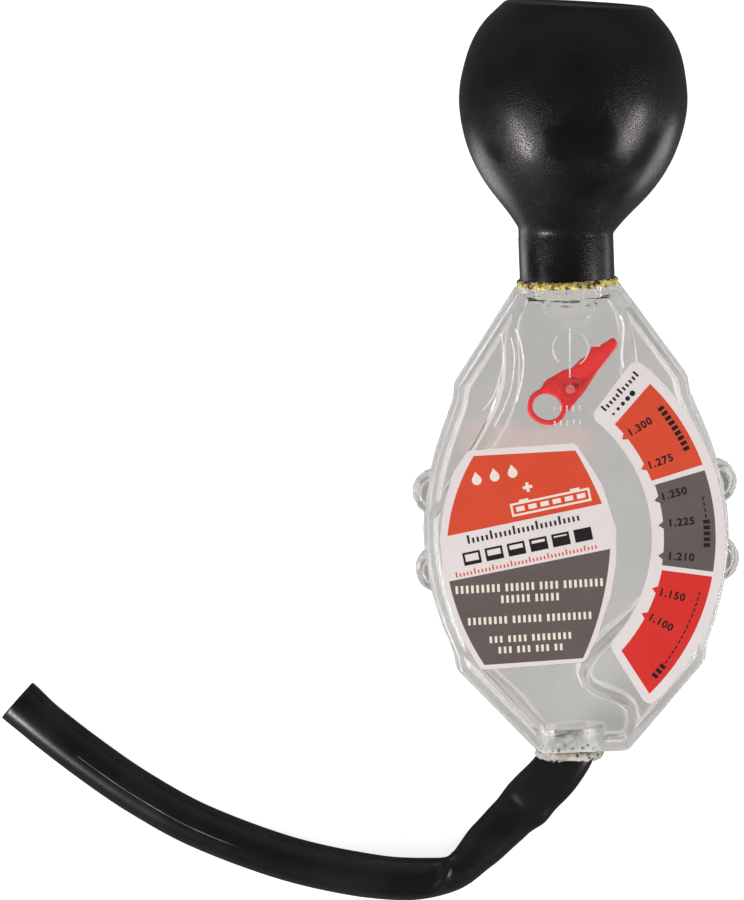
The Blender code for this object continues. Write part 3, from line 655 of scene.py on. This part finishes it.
def turned(name, rows, count):
    """A piece turned about Z, pulled ring by ring through (radius, height) rows that end on the axis."""
    bpy.ops.object.select_all(action="DESELECT")
    radius, height = rows[0]
    bpy.ops.mesh.primitive_circle_add(
        vertices=count, radius=radius, fill_type="TRIFAN", location=(0.0, 0.0, height)
    )
    made = bpy.context.object
    made.name = name
    bpy.ops.object.transform_apply(location=True)
    bpy.ops.object.mode_set(mode="EDIT")
    shape = bmesh.from_edit_mesh(made.data)
    for edge in shape.edges:
        edge.select_set(edge.is_boundary)
    bmesh.update_edit_mesh(made.data)
    for next_radius, next_height in rows[1:]:
        bpy.ops.mesh.extrude_region_move(
            TRANSFORM_OT_translate={"value": (0.0, 0.0, next_height - height)}
        )
        share = next_radius / radius
        bpy.ops.transform.resize(value=(share, share, 1.0), center_override=(0.0, 0.0, next_height))
        radius, height = next_radius, next_height
    bpy.ops.mesh.edge_face_add()
    bpy.ops.mesh.poke()
    bpy.ops.mesh.select_all(action="SELECT")
    bpy.ops.mesh.normals_make_consistent(inside=False)
    bpy.ops.object.mode_set(mode="OBJECT")
    return made


def settle(piece, place=HOUSING):
    """Puts a finished piece in its place, and that place in its mesh."""
    take_up(piece)
    piece.matrix_world = place @ piece.matrix_world
    bpy.ops.object.transform_apply(location=True, rotation=True, scale=True)


def pick(piece, wanted):
    """Takes up a piece in edit mode, with its wanted vertices selected."""
    take_up(piece)
    bpy.ops.object.mode_set(mode="EDIT")
    shape = bmesh.from_edit_mesh(piece.data)
    for vertex in shape.verts:
        vertex.select_set(wanted(vertex.co))
    shape.select_flush_mode()
    bmesh.update_edit_mesh(piece.data)


stations = [
    Vector((radius * BULB_RADIUS, COLLAR_TOP + height * BULB_HEIGHT, 0.0)) for radius, height in BULB_SHARES
]
outside = [(p.x, p.y) for p in smooth_through(stations, OUTSIDE_STEP)]
inside = [(p.x - BULB_WALL, p.y) for p in smooth_through(stations, INSIDE_STEP)]
inside = [(radius, height) for radius, height in inside if radius > NECK_RADIUS + BULB_WALL]
bulb_top = COLLAR_TOP + BULB_HEIGHT
bore = NECK_RADIUS + NECK_GAP
ceiling = bulb_top - 2 * BULB_WALL
bulb_rows = [(INNER_POLE, ceiling), (END_RADIUS - 2 * BULB_WALL, ceiling)]
bulb_rows += inside[:-2][::-1]
bulb_rows += [(bore, COLLAR_TOP), (bore, COLLAR_FOOT), (COLLAR_RADIUS - COLLAR_ROUNDING, COLLAR_FOOT)]
bulb_rows += [(COLLAR_RADIUS, COLLAR_FOOT + COLLAR_ROUNDING), (COLLAR_RADIUS, COLLAR_TOP - CREASE_FROM)]
bulb_rows += [(COLLAR_RADIUS - CREASE_DEPTH, COLLAR_TOP - CREASE_HALF_HEIGHT)]
bulb_rows += [(COLLAR_RADIUS, COLLAR_TOP + CREASE_HALF_HEIGHT)]
bulb_rows += outside
bulb_rows += [(END_RADIUS - inward, bulb_top - below) for inward, below in END_RIM]
bulb_rows += [(radius, bulb_top - below) for radius, below in END_DISH]
bulb = turned("rubber_bulb", bulb_rows, BULB_TURN_POINTS)
pick(bulb, lambda spot: spot.z > COLLAR_TOP - CREASE_HALF_HEIGHT / 2)
bpy.ops.transform.rotate(
    value=-BULB_LEAN, orient_axis="Y", orient_type="GLOBAL", center_override=(0.0, 0.0, COLLAR_TOP)
)
bpy.ops.object.mode_set(mode="OBJECT")
settle(bulb, HOUSING @ ALONG_Y)
smooth_piece(bulb, angle=40)

black_rubber, wire, place = new_finish("black_moulded_rubber")
bloom = wire.node("TexNoise", sockets={"Vector": place, "Scale": 70.0, "Detail": 4.0})
crackle = wire.node("TexVoronoi", {"feature": "DISTANCE_TO_EDGE"}, {"Vector": place, "Scale": 1700.0})
grain = wire.node("TexNoise", sockets={"Vector": place, "Scale": 3400.0, "Detail": 3.0})
crazed = (1.0 - crackle.between(0.0, 0.11)) * bloom.between(0.34, 0.50)
shade(
    black_rubber,
    {
        "Base Color": bloom.between(0.35, 0.7).tint((0.0050, 0.0049, 0.0046), (0.0090, 0.0088, 0.0082)),
        "Roughness": 0.185 + 0.06 * bloom + 0.05 * grain + 0.16 * crazed,
        "Specular IOR Level": 0.34,
        # Painted light: the pink specular tint stands in for the soft boxes' warm colour in the rubber's
        # highlights.
        "Specular Tint": (1.0, 0.94, 0.93, 1.0),
        "IOR": 1.5,
        "Normal": wire.node(
            "Bump", sockets={"Strength": 0.4, "Distance": 0.04 * MM, "Height": grain - crazed}
        ),
    },
)
bulb.data.materials.append(black_rubber)
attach(bulb, "tester")
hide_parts("squeeze_bulb")

# ---------------------------------------------------------------- Glue beads
# A yellowish bead of grainy glue seals the collar to the housing, and clear whitish glue fills the slot
# round the hose. Both were squeezed out and hardened in lumps, and both have smeared over the front.
HOUSING_TOP = 57.2 * MM
BEAD_PROUD = 0.55 * MM


def lumpy_ring(name, radius, thickness, stretch, seed, lump, spacing):
    """A ring of hardened glue about Z, stretched along it, with its wall pushed in and out by noise."""
    bpy.ops.object.select_all(action="DESELECT")
    bpy.ops.mesh.primitive_torus_add(
        major_radius=radius, minor_radius=thickness, major_segments=360, minor_segments=22
    )
    made = bpy.context.object
    made.name = name
    bpy.ops.object.mode_set(mode="EDIT")
    bpy.ops.transform.resize(value=(1.0, 1.0, stretch))
    bpy.ops.object.mode_set(mode="OBJECT")
    for vertex in made.data.vertices:
        coarse = noise.noise(vertex.co / spacing + Vector((seed, 0.0, 0.0)))
        fine = noise.noise(vertex.co / spacing * 2.7 + Vector((0.0, seed, 0.0)))
        vertex.co += vertex.normal * (coarse + 0.5 * fine) * lump
    made.data.shade_smooth()
    return made


bulb_bead = lumpy_ring(
    "yellow_glue", 11.0 * MM, 0.68 * MM, stretch=1.2, seed=3.0, lump=0.33 * MM, spacing=0.5 * MM
)
settle(bulb_bead, HOUSING @ Matrix.Translation((0.0, HOUSING_TOP + BEAD_PROUD, 0.0)) @ ALONG_Y)


def grainy_yellow(wire, place):
    """Sockets for hardened yellow glue: pale, amber and near-black grains."""
    coarse = wire.node("TexNoise", sockets={"Vector": place, "Scale": 620.0, "Detail": 5.0})
    fine = wire.node("TexNoise", sockets={"Vector": place, "Scale": 1700.0, "Detail": 3.0})
    grains = wire.node("TexVoronoi", sockets={"Vector": place, "Scale": 1500.0}, output="Color")
    amber = grains.between(0.3, 0.7).tint((0.34, 0.25, 0.028), (0.67, 0.55, 0.135))
    amber = fine.between(0.52, 0.68).tint(amber, (0.73, 0.65, 0.31))
    return {
        "Base Color": coarse.between(0.50, 0.57).tint(amber, (0.045, 0.034, 0.010)),
        "Roughness": 0.25 + 0.3 * fine,
        "Normal": wire.node("Bump", sockets={"Strength": 0.8, "Distance": 0.25 * MM, "Height": fine}),
    }


yellow_glue, wire, place = new_finish("yellow_grainy_glue")
shade(yellow_glue, grainy_yellow(wire, place))
bulb_bead.data.materials.append(yellow_glue)
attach(bulb_bead, "tester")
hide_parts("bulb_glue_bead")

HOSE_BEAD_STRETCH = 1.7 * MM
HOSE_BEAD_TURN = math.radians(-3)
OFF_MIDDLE = 1e-6
hose_bead = lumpy_ring(
    "clear_glue_lumps", 5.2 * MM, 0.9 * MM, stretch=1.15, seed=7.0, lump=0.5 * MM, spacing=1.4 * MM
)
for side in (-1, 1):
    pick(hose_bead, lambda spot: spot.x * side > OFF_MIDDLE)
    bpy.ops.transform.translate(value=(side * HOSE_BEAD_STRETCH, 0.0, 0.0))
    bpy.ops.object.mode_set(mode="OBJECT")
in_slot = Matrix.Translation((HOSE_OFFSET, -HOUSING_BOTTOM - BEAD_PROUD, 0.0))
settle(hose_bead, HOUSING @ in_slot @ Matrix.Rotation(HOSE_BEAD_TURN, 4, "Z") @ ALONG_Y)
clear_glue, wire, place = new_finish("clear_cloudy_glue")
milk = wire.node("TexNoise", sockets={"Vector": place, "Scale": 300.0, "Detail": 3.0})
specks = wire.node("TexNoise", sockets={"Vector": place, "Scale": 800.0, "Detail": 2.0})
shade(
    clear_glue,
    {
        "Base Color": specks.between(0.60, 0.68).tint(
            milk.between(0.35, 0.65).tint((0.46, 0.42, 0.35), (0.66, 0.62, 0.56)), (0.10, 0.09, 0.07)
        ),
        "Roughness": 0.18 + 0.2 * milk,
        "Transmission Weight": 0.2,
        "Normal": wire.node("Bump", sockets={"Strength": 0.4, "Distance": 0.4 * MM, "Height": milk}),
    },
)
hose_bead.data.materials.append(clear_glue)
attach(hose_bead, "tester")
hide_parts("hose_glue_bead")


# A film is let down on the front half from above it. What misses the half stays up, and is taken off.
FILM_DROPPED_FROM = 16 * MM
FILM_MISSED_ABOVE = 12 * MM
FILM_THICKNESS = 0.04 * MM


def lay_on_front(piece, finish):
    """Gives a thin piece on the front its finish and body. It throws no shadow."""
    piece.visible_shadow = False
    piece.data.materials.append(finish)
    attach(piece, "tester")


def film_on_front(name, low, high, finish):
    """A film that lies on the front half, between two corners given in millimetres."""
    bpy.ops.object.select_all(action="DESELECT")
    bpy.ops.mesh.primitive_grid_add(x_subdivisions=60, y_subdivisions=30, size=1.0, location=(0.0, 0.0, 0.0))
    made = bpy.context.object
    made.name = name
    made.scale = ((high[0] - low[0]) * MM, (high[1] - low[1]) * MM, 1.0)
    middle = ((low[0] + high[0]) / 2 * MM, (low[1] + high[1]) / 2 * MM, FILM_DROPPED_FROM)
    settle(made, HOUSING @ Matrix.Translation(middle))
    wrap = made.modifiers.new("wrap", "SHRINKWRAP")
    wrap.target = bpy.data.objects["front_half"]
    wrap.wrap_method = "PROJECT"
    wrap.use_project_z = True
    wrap.use_negative_direction = True
    wrap.use_positive_direction = False
    wrap.offset = FILM_THICKNESS
    bpy.ops.object.modifier_apply(modifier=wrap.name)
    pick(made, lambda spot: (INTO_HOUSING @ spot).z > FILM_MISSED_ABOVE)
    bpy.ops.mesh.delete(type="VERT")
    bpy.ops.object.mode_set(mode="OBJECT")
    made.data.shade_smooth()
    lay_on_front(made, finish)


neck_film, wire, place = new_finish("yellow_glue_smear")
sockets = grainy_yellow(wire, place)
local, x, y = housing_place(wire, place)
streaked = wire.node("Mapping", sockets={"Vector": local, "Scale": (0.16, 1.0, 1.0)})
strokes = wire.node("TexNoise", sockets={"Vector": streaked, "Scale": 1.3, "Detail": 2.0})
specks = wire.node("TexNoise", sockets={"Vector": local, "Scale": 2.6, "Detail": 3.0})
smeared = y.within((52.4, 53.2), (54.6, 55.4)) * x.within((-8.5, -7.3), (8.0, 9.2))
dark = strokes.between(0.55, 0.64) * smeared
crumbs = specks.between(0.66 - 0.28 * y.between(54.2, 57.0).maths("POWER", 1.4), 0.72)
sockets["Base Color"] = dark.tint(sockets["Base Color"], (0.035, 0.032, 0.014))
sockets["Alpha"] = (0.85 * dark).maths("MAXIMUM", 0.75 * crumbs * y.between(54.0, 55.0))
shade(neck_film, sockets)
film_on_front("neck_smear", (-10.4, 51.8), (10.4, 57.0), neck_film)

socket_film, wire, place = new_finish("clear_glue_smear")
local, x, y = housing_place(wire, place)
streaked = wire.node("Mapping", sockets={"Vector": local, "Scale": (0.25, 1.0, 1.0)})
strokes = wire.node("TexNoise", sockets={"Vector": streaked, "Scale": 1.1, "Detail": 3.0})
lumps = wire.node("TexNoise", sockets={"Vector": local, "Scale": 0.7, "Detail": 3.0})
spots = wire.node("TexNoise", sockets={"Vector": local, "Scale": 0.9, "Detail": 1.0})
sides = x.within((-11.6, -9.6), (2.6, 4.6))
smeared = y.within((-47.6, -46.8), (-45.6, -44.9)) * x.within((-8.0, -6.5), (0.5, 2.0))
spotted = spots.between(0.62, 0.70) * (1.0 - y.between(-48.6, -48.0))
dark = (0.7 * strokes.between(0.50, 0.64) * smeared).maths("MAXIMUM", 0.8 * spotted)
milky = (0.62 + 0.45 * lumps) * (1.0 - y.between(-48.4, -43.4))
pale = lumps.between(0.35, 0.65).tint((0.46, 0.45, 0.43), (0.57, 0.555, 0.535))
shade(
    socket_film,
    {
        "Base Color": dark.tint(pale, (0.02, 0.02, 0.018)),
        "Roughness": 0.18 + 0.2 * lumps,
        "Alpha": dark.maths("MAXIMUM", milky) * sides,
        "Normal": wire.node("Bump", sockets={"Strength": 0.5, "Distance": 0.5 * MM, "Height": lumps}),
    },
)
film_on_front("socket_smear", (-11.8, -51.2), (4.8, -42.8), socket_film)

# ---------------------------------------------------------------- Level mark and painted wall highlights
# Fine moulded ridges: a mark to hold the tester upright by, which is a circle, a line and a stroke, and two
# rows of short strokes below it. Their whitish colour is painted highlight where the clear ridges catch the
# light, and the circle is drawn only as its two lit sides. Along the halves' channel walls, thin whitish
# lines are painted highlights where the walls' edges catch the light.
def painted_highlight_finish(name, dark, light, clarity):
    """Whitish colour between two tints, with a fine grain, that paints highlights on clear plastic."""
    made, wire, place = new_finish(name)
    highlight_grain = wire.node("TexNoise", sockets={"Vector": place, "Scale": 900.0, "Detail": 2.0})
    shade(
        made,
        {
            "Base Color": highlight_grain.tint(dark, light),
            "Roughness": 0.2 + 0.2 * highlight_grain,
            "Transmission Weight": clarity,
        },
    )
    return made


# Both finishes are painted highlight: whitish colour where clear plastic catches the light.
wall_painted_highlight = painted_highlight_finish("wall_highlights_painted", (0.72, 0.71, 0.69), (0.88, 0.87, 0.85), 0.45)
mark_painted_highlight = painted_highlight_finish("marks_painted_highlight", (0.66, 0.65, 0.64), (0.80, 0.79, 0.78), 0.62)


def ridge(name, paths, height, width, finish):
    """Fine rounded lines along flat paths in millimetres, at a height in the housing's frame."""
    lines = [[(x * MM, y * MM, height * MM) for x, y in path] for path in paths]
    made = mesh_of_lines(name, lines, bevel_depth=width / 2 * MM, **ROUND_LINE)
    made.data.shade_smooth()
    settle(made)
    lay_on_front(made, finish)


ARC_STEPS = 24


def arc(middle, radius, start, stop):
    """Points along an arc, in millimetres and degrees."""
    angles = [math.radians(start + (stop - start) * k / ARC_STEPS) for k in range(ARC_STEPS + 1)]
    return [(middle[0] + radius * math.cos(a), middle[1] + radius * math.sin(a)) for a in angles]


# Places and widths on the front, in millimetres
MARK_HEIGHT = 8.0
MARK_MIDDLE = (-0.1, 43.1)
MARK_RADIUS = 4.1
STROKE_ROWS = (29.4, 26.05)
STROKE_COLUMNS = (-4.3, -2.85, -1.4, 0.05, 1.5)
STROKE_HALF = 0.6
ring_sides = [arc(MARK_MIDDLE, MARK_RADIUS, 128, 228), arc(MARK_MIDDLE, MARK_RADIUS, 52, -62)]
upright_and_stroke = [[(-0.1, 47.75), (-0.5, 36.45)], [(4.4, 43.55), (6.7, 43.5)]]
strokes_below = [
    [(x, y - STROKE_HALF), (x, y + STROKE_HALF)] for y in STROKE_ROWS for x in STROKE_COLUMNS
]
ridge("level_mark_ring", ring_sides, MARK_HEIGHT, 0.28, mark_painted_highlight)
ridge("level_mark_line", upright_and_stroke, MARK_HEIGHT, 0.31, mark_painted_highlight)
ridge("level_mark_strokes", strokes_below, MARK_HEIGHT, 0.3, mark_painted_highlight)

# Painted highlights: thin whitish lines inside the housing along the channel walls' edges.
WALL_HIGHLIGHT_HEIGHT = 5.8
WALL_HIGHLIGHT_STEP = 0.6
WALL_HIGHLIGHT_WIDTHS = (0.42, 0.26, 0.26, 0.42)
WALL_HIGHLIGHT_LINES = (
    (
        (-12.4, 47.8),
        (-11.9, 46.6),
        (-11.3, 44.3),
        (-10.85, 40.6),
        (-11.1, 38.0),
        (-11.7, 34.8),
        (-12.8, 31.2),
    ),
    ((-15.8, 46.8), (-15.4, 44.4), (-15.4, 40.7), (-16.1, 37.6), (-17.9, 32.7), (-20.6, 29.2)),
    ((-13.5, 45.9), (-12.95, 42.7), (-13.0, 39.6), (-13.9, 34.4), (-15.4, 30.3), (-17.9, 25.7)),
    ((11.5, 50.1), (12.05, 48.5), (12.15, 46.4), (11.75, 43.3), (11.55, 40.7), (11.8, 38.1)),
)
for i, (line, width) in enumerate(zip(WALL_HIGHLIGHT_LINES, WALL_HIGHLIGHT_WIDTHS)):
    flowing = smooth_through([(x, y, 0.0) for x, y in line], WALL_HIGHLIGHT_STEP)
    ridge(f"painted_wall_highlight_{i + 1}", [[(p.x, p.y) for p in flowing]], WALL_HIGHLIGHT_HEIGHT, width, wall_painted_highlight)

# ---------------------------------------------------------------- Pointer and pin
# The pointer is moulded in slightly see-through red plastic, and its edges are rounded. It turns on a short
# pin of pale plastic, which its red shines into; that red light is painted into the pin's colour.
red_plastic, wire, place = new_finish("red_see_through_plastic")
streaks = wire.node("TexNoise", sockets={"Vector": place, "Scale": 160.0, "Detail": 3.0})
shade(
    red_plastic,
    {
        "Base Color": streaks.tint((0.56, 0.014, 0.016), (0.66, 0.024, 0.026)),
        "Roughness": 0.30 + 0.1 * streaks,
        "Specular IOR Level": 0.3,
        "Subsurface Weight": 0.25,
        "Subsurface Radius": (2.0 * MM, 0.4 * MM, 0.4 * MM),
    },
)
RIM_WIDTH = 0.3 * MM
arm = copy_of("pointer", "red_pointer")
arm.data.materials.append(red_plastic)
round_edges(arm, RIM_WIDTH, segments=3)
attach(arm, "pointer")
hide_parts("pointer")

pale_plastic, wire, place = new_finish("pale_plastic")
cloud = wire.node("TexNoise", sockets={"Vector": place, "Scale": 600.0, "Detail": 2.0})
shade(
    pale_plastic,
    {
        "Base Color": cloud.tint((0.60, 0.06, 0.056), (0.70, 0.10, 0.09)),
        "Roughness": 0.3 + 0.1 * cloud,
    },
)
pin = frame["nodes"]["pointer_pin"]
pin.data.materials.clear()
pin.data.materials.append(pale_plastic)

# ---------------------------------------------------------------- Labels
# Two printed films on the front face: coloured panels on white, with rounded white borders. The printing
# is a hair above the film, because ink has a thickness.
LABEL_TOP = 8.3 * MM
INK = 0.03 * MM


def printed_finish(name, colour, dark):
    """Ink on film: even, with a fine speckle and a soft sheen."""
    made, wire, place = new_finish(name)
    speckle = wire.node("TexNoise", sockets={"Vector": place, "Scale": 2400.0, "Detail": 2.0})
    cloud = wire.node("TexNoise", sockets={"Vector": place, "Scale": 120.0, "Detail": 2.0})
    shade(
        made,
        {
            "Base Color": (0.6 * speckle + 0.4 * cloud).between(0.3, 0.7).tint(dark, colour),
            "Roughness": 0.34 + 0.12 * cloud,
            "Specular IOR Level": 0.4,
        },
    )
    return made


white_film = printed_finish("white_film", (0.73, 0.665, 0.655), (0.69, 0.625, 0.615))
orange_ink = printed_finish("orange_ink", (0.67, 0.066, 0.024), (0.61, 0.058, 0.022))
grey_ink = printed_finish("grey_ink", (0.130, 0.101, 0.095), (0.110, 0.087, 0.083))
red_ink = printed_finish("red_ink", (0.66, 0.024, 0.018), (0.60, 0.020, 0.016))
black_ink = printed_finish("black_ink", (0.012, 0.011, 0.011), (0.018, 0.016, 0.016))
for node in ("info_label", "scale_label"):
    film = frame["nodes"][node]
    film.data.materials.clear()
    film.data.materials.append(white_film)
    film.visible_shadow = False


def printed(name, outlines, ink, layer):
    """Flat printed shapes on a label: one outline each, as places in the housing's frame in millimetres."""
    lines = [[(x * MM, y * MM, 0.0) for x, y in outline] for outline in outlines]
    made = mesh_of_lines(name, lines, closed=True, dimensions="2D", fill_mode="BOTH", extrude=INK / 2)
    settle(made, HOUSING @ Matrix.Translation((0.0, 0.0, LABEL_TOP + (layer + 0.5) * INK)))
    lay_on_front(made, ink)


BOW_STEPS = 12


def bowed(corners):
    """An outline from rows of a corner and how far the side after it bows out, in millimetres."""
    made = []
    for i, (x, y, bow) in enumerate(corners):
        start = Vector((x, y))
        stop = Vector(corners[(i + 1) % len(corners)][:2])
        out = Vector((stop.y - start.y, start.x - stop.x)).normalized() * bow
        steps = BOW_STEPS if bow else 1
        for k in range(steps):
            t = k / steps
            made.append(start.lerp(stop, t) + out * (4 * t * (1 - t)))
    return made


orange_outline = bowed([(0.2, 19.6, 0.0), (-23.2, 19.25, 1.1), (-29.9, 0.95, 0.0), (5.9, 7.05, 0.25)])
grey_outline = bowed([(7.4, -3.5, 0.0), (-29.9, -9.6, 1.0), (-22.5, -29.4, 0.0), (0.3, -28.7, 1.2)])
printed("info_orange_panel", [orange_outline], orange_ink, layer=0)
printed("info_grey_panel", [grey_outline], grey_ink, layer=0)

SCALE_CENTRE = Vector((-18.54, -0.43))
PANEL_OUTER = 50.3
TOOTH_HEIGHT = 1.15
TOOTH_HALF = 1.25


def on_scale(radius, angle):
    """A place on the scale's arcs, from a radius in millimetres and an angle in degrees."""
    turn = math.radians(angle)
    return SCALE_CENTRE + Vector((math.cos(turn), math.sin(turn))) * radius


def scale_panel(inner_radius, inner, outer, ticks):
    """A panel of the scale between angles for its inner and its outer arc, with a tooth for each tick."""
    shares = [k / ARC_STEPS for k in range(ARC_STEPS + 1)]
    made = [on_scale(PANEL_OUTER, outer[1] + (outer[0] - outer[1]) * share) for share in shares]
    inside = [(inner[0] + (inner[1] - inner[0]) * share, inner_radius) for share in shares]
    inside = [place for place in inside if all(abs(place[0] - tick) > TOOTH_HALF for tick in ticks)]
    for tick in ticks:
        inside += [(tick + TOOTH_HALF, inner_radius), (tick - TOOTH_HALF, inner_radius)]
        inside.append((tick, inner_radius - TOOTH_HEIGHT))
    return made + [on_scale(radius, angle) for angle, radius in sorted(inside, reverse=True)]


# Name, inner radius, angles of the inner and of the outer arc, ink and ticks of each panel
SCALE_PANELS = (
    ("scale_orange_panel", 38.0, (42.6, 18.9), (43.7, 18.05), orange_ink, (36.9, 24.1)),
    ("scale_grey_panel", 38.4, (17.2, -11.0), (16.5, -10.7), grey_ink, (11.9, 2.9, -7.8)),
    ("scale_red_panel", 38.6, (-12.7, -44.1), (-12.0, -47.7), red_ink, (-19.7, -29.3)),
)
for name, radius, inner, outer, ink, ticks in SCALE_PANELS:
    printed(name, [scale_panel(radius, inner, outer, ticks)], ink, layer=0)

SEGMENT_MIDDLE = 48.3
SEGMENT_HALF = 0.75
SEGMENT_THIN_HALF = 0.16
SEGMENT_ANGLE = 1.06
SEGMENT_PITCH = 1.62


def gauge(low_angle, count, filled):
    """A row of segments along the outer arc, from below: the first ones are full, the rest thin."""
    made = []
    for k in range(count):
        half = SEGMENT_HALF if k < filled else SEGMENT_THIN_HALF
        start = low_angle + k * SEGMENT_PITCH
        corners = ((-half, 0.0), (half, 0.0), (half, SEGMENT_ANGLE), (-half, SEGMENT_ANGLE))
        made.append([on_scale(SEGMENT_MIDDLE + out, start + turn) for out, turn in corners])
    return made


printed("full_gauge", gauge(23.3, count=9, filled=9), black_ink, layer=1)
printed("middle_gauge", gauge(-4.2, count=9, filled=5), black_ink, layer=1)
printed("low_gauge", gauge(-43.6, count=17, filled=3), black_ink, layer=1)

NUMBER_SIZE = 2.42 * MM
NUMBER_THICKENED = 0.075 * MM
NUMBER_SPACING = 1.17
# Text, radius, angle and turn of each number
SCALE_NUMBERS = (
    ("1.300", 41.85, 36.4, 29.3),
    ("1.275", 41.6, 23.6, 18.0),
    ("1.250", 41.95, 12.5, 13.3),
    ("1.225", 42.55, 3.3, 3.4),
    ("1.210", 42.5, -7.6, -6.0),
    ("1.150", 42.3, -19.9, -15.6),
    ("1.100", 42.35, -29.2, -30.5),
)
for text, radius, angle, turn in SCALE_NUMBERS:
    bpy.ops.object.select_all(action="DESELECT")
    bpy.ops.object.text_add(location=(0.0, 0.0, 0.0))
    number = bpy.context.object
    number.name = "scale_number_" + text.replace(".", "_")
    number.data.body = text
    number.data.size = NUMBER_SIZE
    number.data.align_x = "CENTER"
    number.data.align_y = "CENTER"
    number.data.offset = NUMBER_THICKENED
    number.data.space_character = NUMBER_SPACING
    number.data.extrude = INK / 2
    bpy.ops.object.convert(target="MESH")
    number = bpy.context.object
    number.data.materials.append(black_ink)
    spot = on_scale(radius, angle) * MM
    turned_by = Matrix.Rotation(math.radians(turn), 4, "Z")
    settle(number, HOUSING @ Matrix.Translation((spot.x, spot.y, LABEL_TOP + 1.5 * INK)) @ turned_by)
    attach(number, "tester")


# Small pictures and rows of strokes. Each is drawn along a row: x along it and y up from its foot, in
# millimetres.
def bar(left, right, low, high):
    """An upright rectangle."""
    return [(left, low), (right, low), (right, high), (left, high)]


def drop(middle, height):
    """A drop with its tip up."""
    radius = 0.36 * height
    return arc((middle, radius), radius, 150, 390) + [(middle, height)]


def ruler(length, pitch, width, low, high, every):
    """Upright strokes, each `every`th one taller."""
    count = int((length - width) / pitch) + 1
    return [bar(k * pitch, k * pitch + width, 0.0, high if k % every == 0 else low) for k in range(count)]


GROUP_GAP = 0.6


def dashes(groups, pitch, width, height):
    """Groups of upright strokes, with a gap after each group that is a share of the pitch."""
    made = []
    along = 0.0
    for group in groups:
        for k in range(group):
            made.append(bar(along, along + width, 0.0, height))
            along += pitch
        along += pitch * GROUP_GAP
    return made


CELL_FRAME = 0.5


def cells(count, pitch, width, height):
    """Battery cells as frames whose filling rises from the first to the last."""
    made = []
    for k in range(count):
        left = k * pitch
        level = CELL_FRAME + (height - 2 * CELL_FRAME) * (k + 1) / count
        made.append(bar(left, left + width, 0.0, height))
        if level < height - CELL_FRAME:
            made.append(bar(left + CELL_FRAME, left + width - CELL_FRAME, level, height - CELL_FRAME))
    return made


cream_ink = printed_finish("cream_ink", (0.80, 0.72, 0.62), (0.74, 0.66, 0.56))
PLUS = [(0.0, 0.75), (0.75, 0.75), (0.75, 0.0), (1.45, 0.0), (1.45, 0.75), (2.2, 0.75)]
PLUS += [(2.2, 1.45), (1.45, 1.45), (1.45, 2.2), (0.75, 2.2), (0.75, 1.45), (0.0, 1.45)]
battery = [bar(0.0, 18.6, 0.0, 3.1), bar(0.5, 18.1, 0.5, 2.6)]
battery += [bar(2.2, 4.4, 3.1, 3.6), bar(14.2, 16.4, 3.1, 3.6)]
battery += [bar(1.2 + 2.85 * k, 3.15 + 2.85 * k, 1.0, 2.1) for k in range(6)]
dots = [arc((0.8 + 1.6 * k, 0.75), 0.3 + 0.09 * k, 0, 345) for k in range(5)]
# Name, foot, slope in degrees, outlines and ink of each row
ROWS = (
    ("info_drops", (-23.9, 12.3), 9.2, [drop(1.4, 3.1), drop(5.6, 3.1), drop(9.8, 3.1)], cream_ink),
    ("info_plus", (-12.0, 10.3), 9.6, [PLUS], cream_ink),
    ("info_battery", (-14.8, 4.75), 9.7, battery, cream_ink),
    ("info_ruler", (-25.2, -1.05), 9.7, ruler(26.2, 1.07, 0.5, 1.2, 2.0, 5), black_ink),
    ("info_cells", (-26.2, -6.15), 9.6, cells(6, 5.22, 4.1, 3.0), black_ink),
    ("info_fine_ruler", (-28.2, -8.8), 9.6, ruler(33.8, 0.86, 0.34, 0.8, 1.3, 5), orange_ink),
    ("info_strokes_1", (-28.5, -12.6), 0.9, dashes((9, 6, 4, 8), 1.2, 0.6, 1.8), cream_ink),
    ("info_strokes_2", (-18.1, -15.1), 0.6, dashes((6, 5), 1.2, 0.6, 1.75), cream_ink),
    ("info_strokes_3", (-25.9, -20.0), 0.8, dashes((8, 6, 9), 1.2, 0.6, 1.7), cream_ink),
    ("info_strokes_4", (-21.1, -24.35), 1.0, dashes((3, 4, 8), 1.2, 0.6, 1.55), cream_ink),
    ("info_strokes_5", (-19.1, -26.85), 0.9, dashes((3, 3, 3, 2), 1.2, 0.6, 1.55), cream_ink),
    ("title_ruler", (7.4, 28.3), 45.3, ruler(12.1, 1.08, 0.5, 1.0, 1.6, 5), black_ink),
    ("title_dots", (9.2, 26.6), 45.7, dots, black_ink),
)
for name, foot, slope, outlines, ink in ROWS:
    turn = math.radians(slope)
    along = Vector((math.cos(turn), math.sin(turn)))
    up = Vector((-along.y, along.x))
    placed = [[Vector(foot) + along * x + up * y for x, y in outline] for outline in outlines]
    printed(name, placed, ink, layer=1)
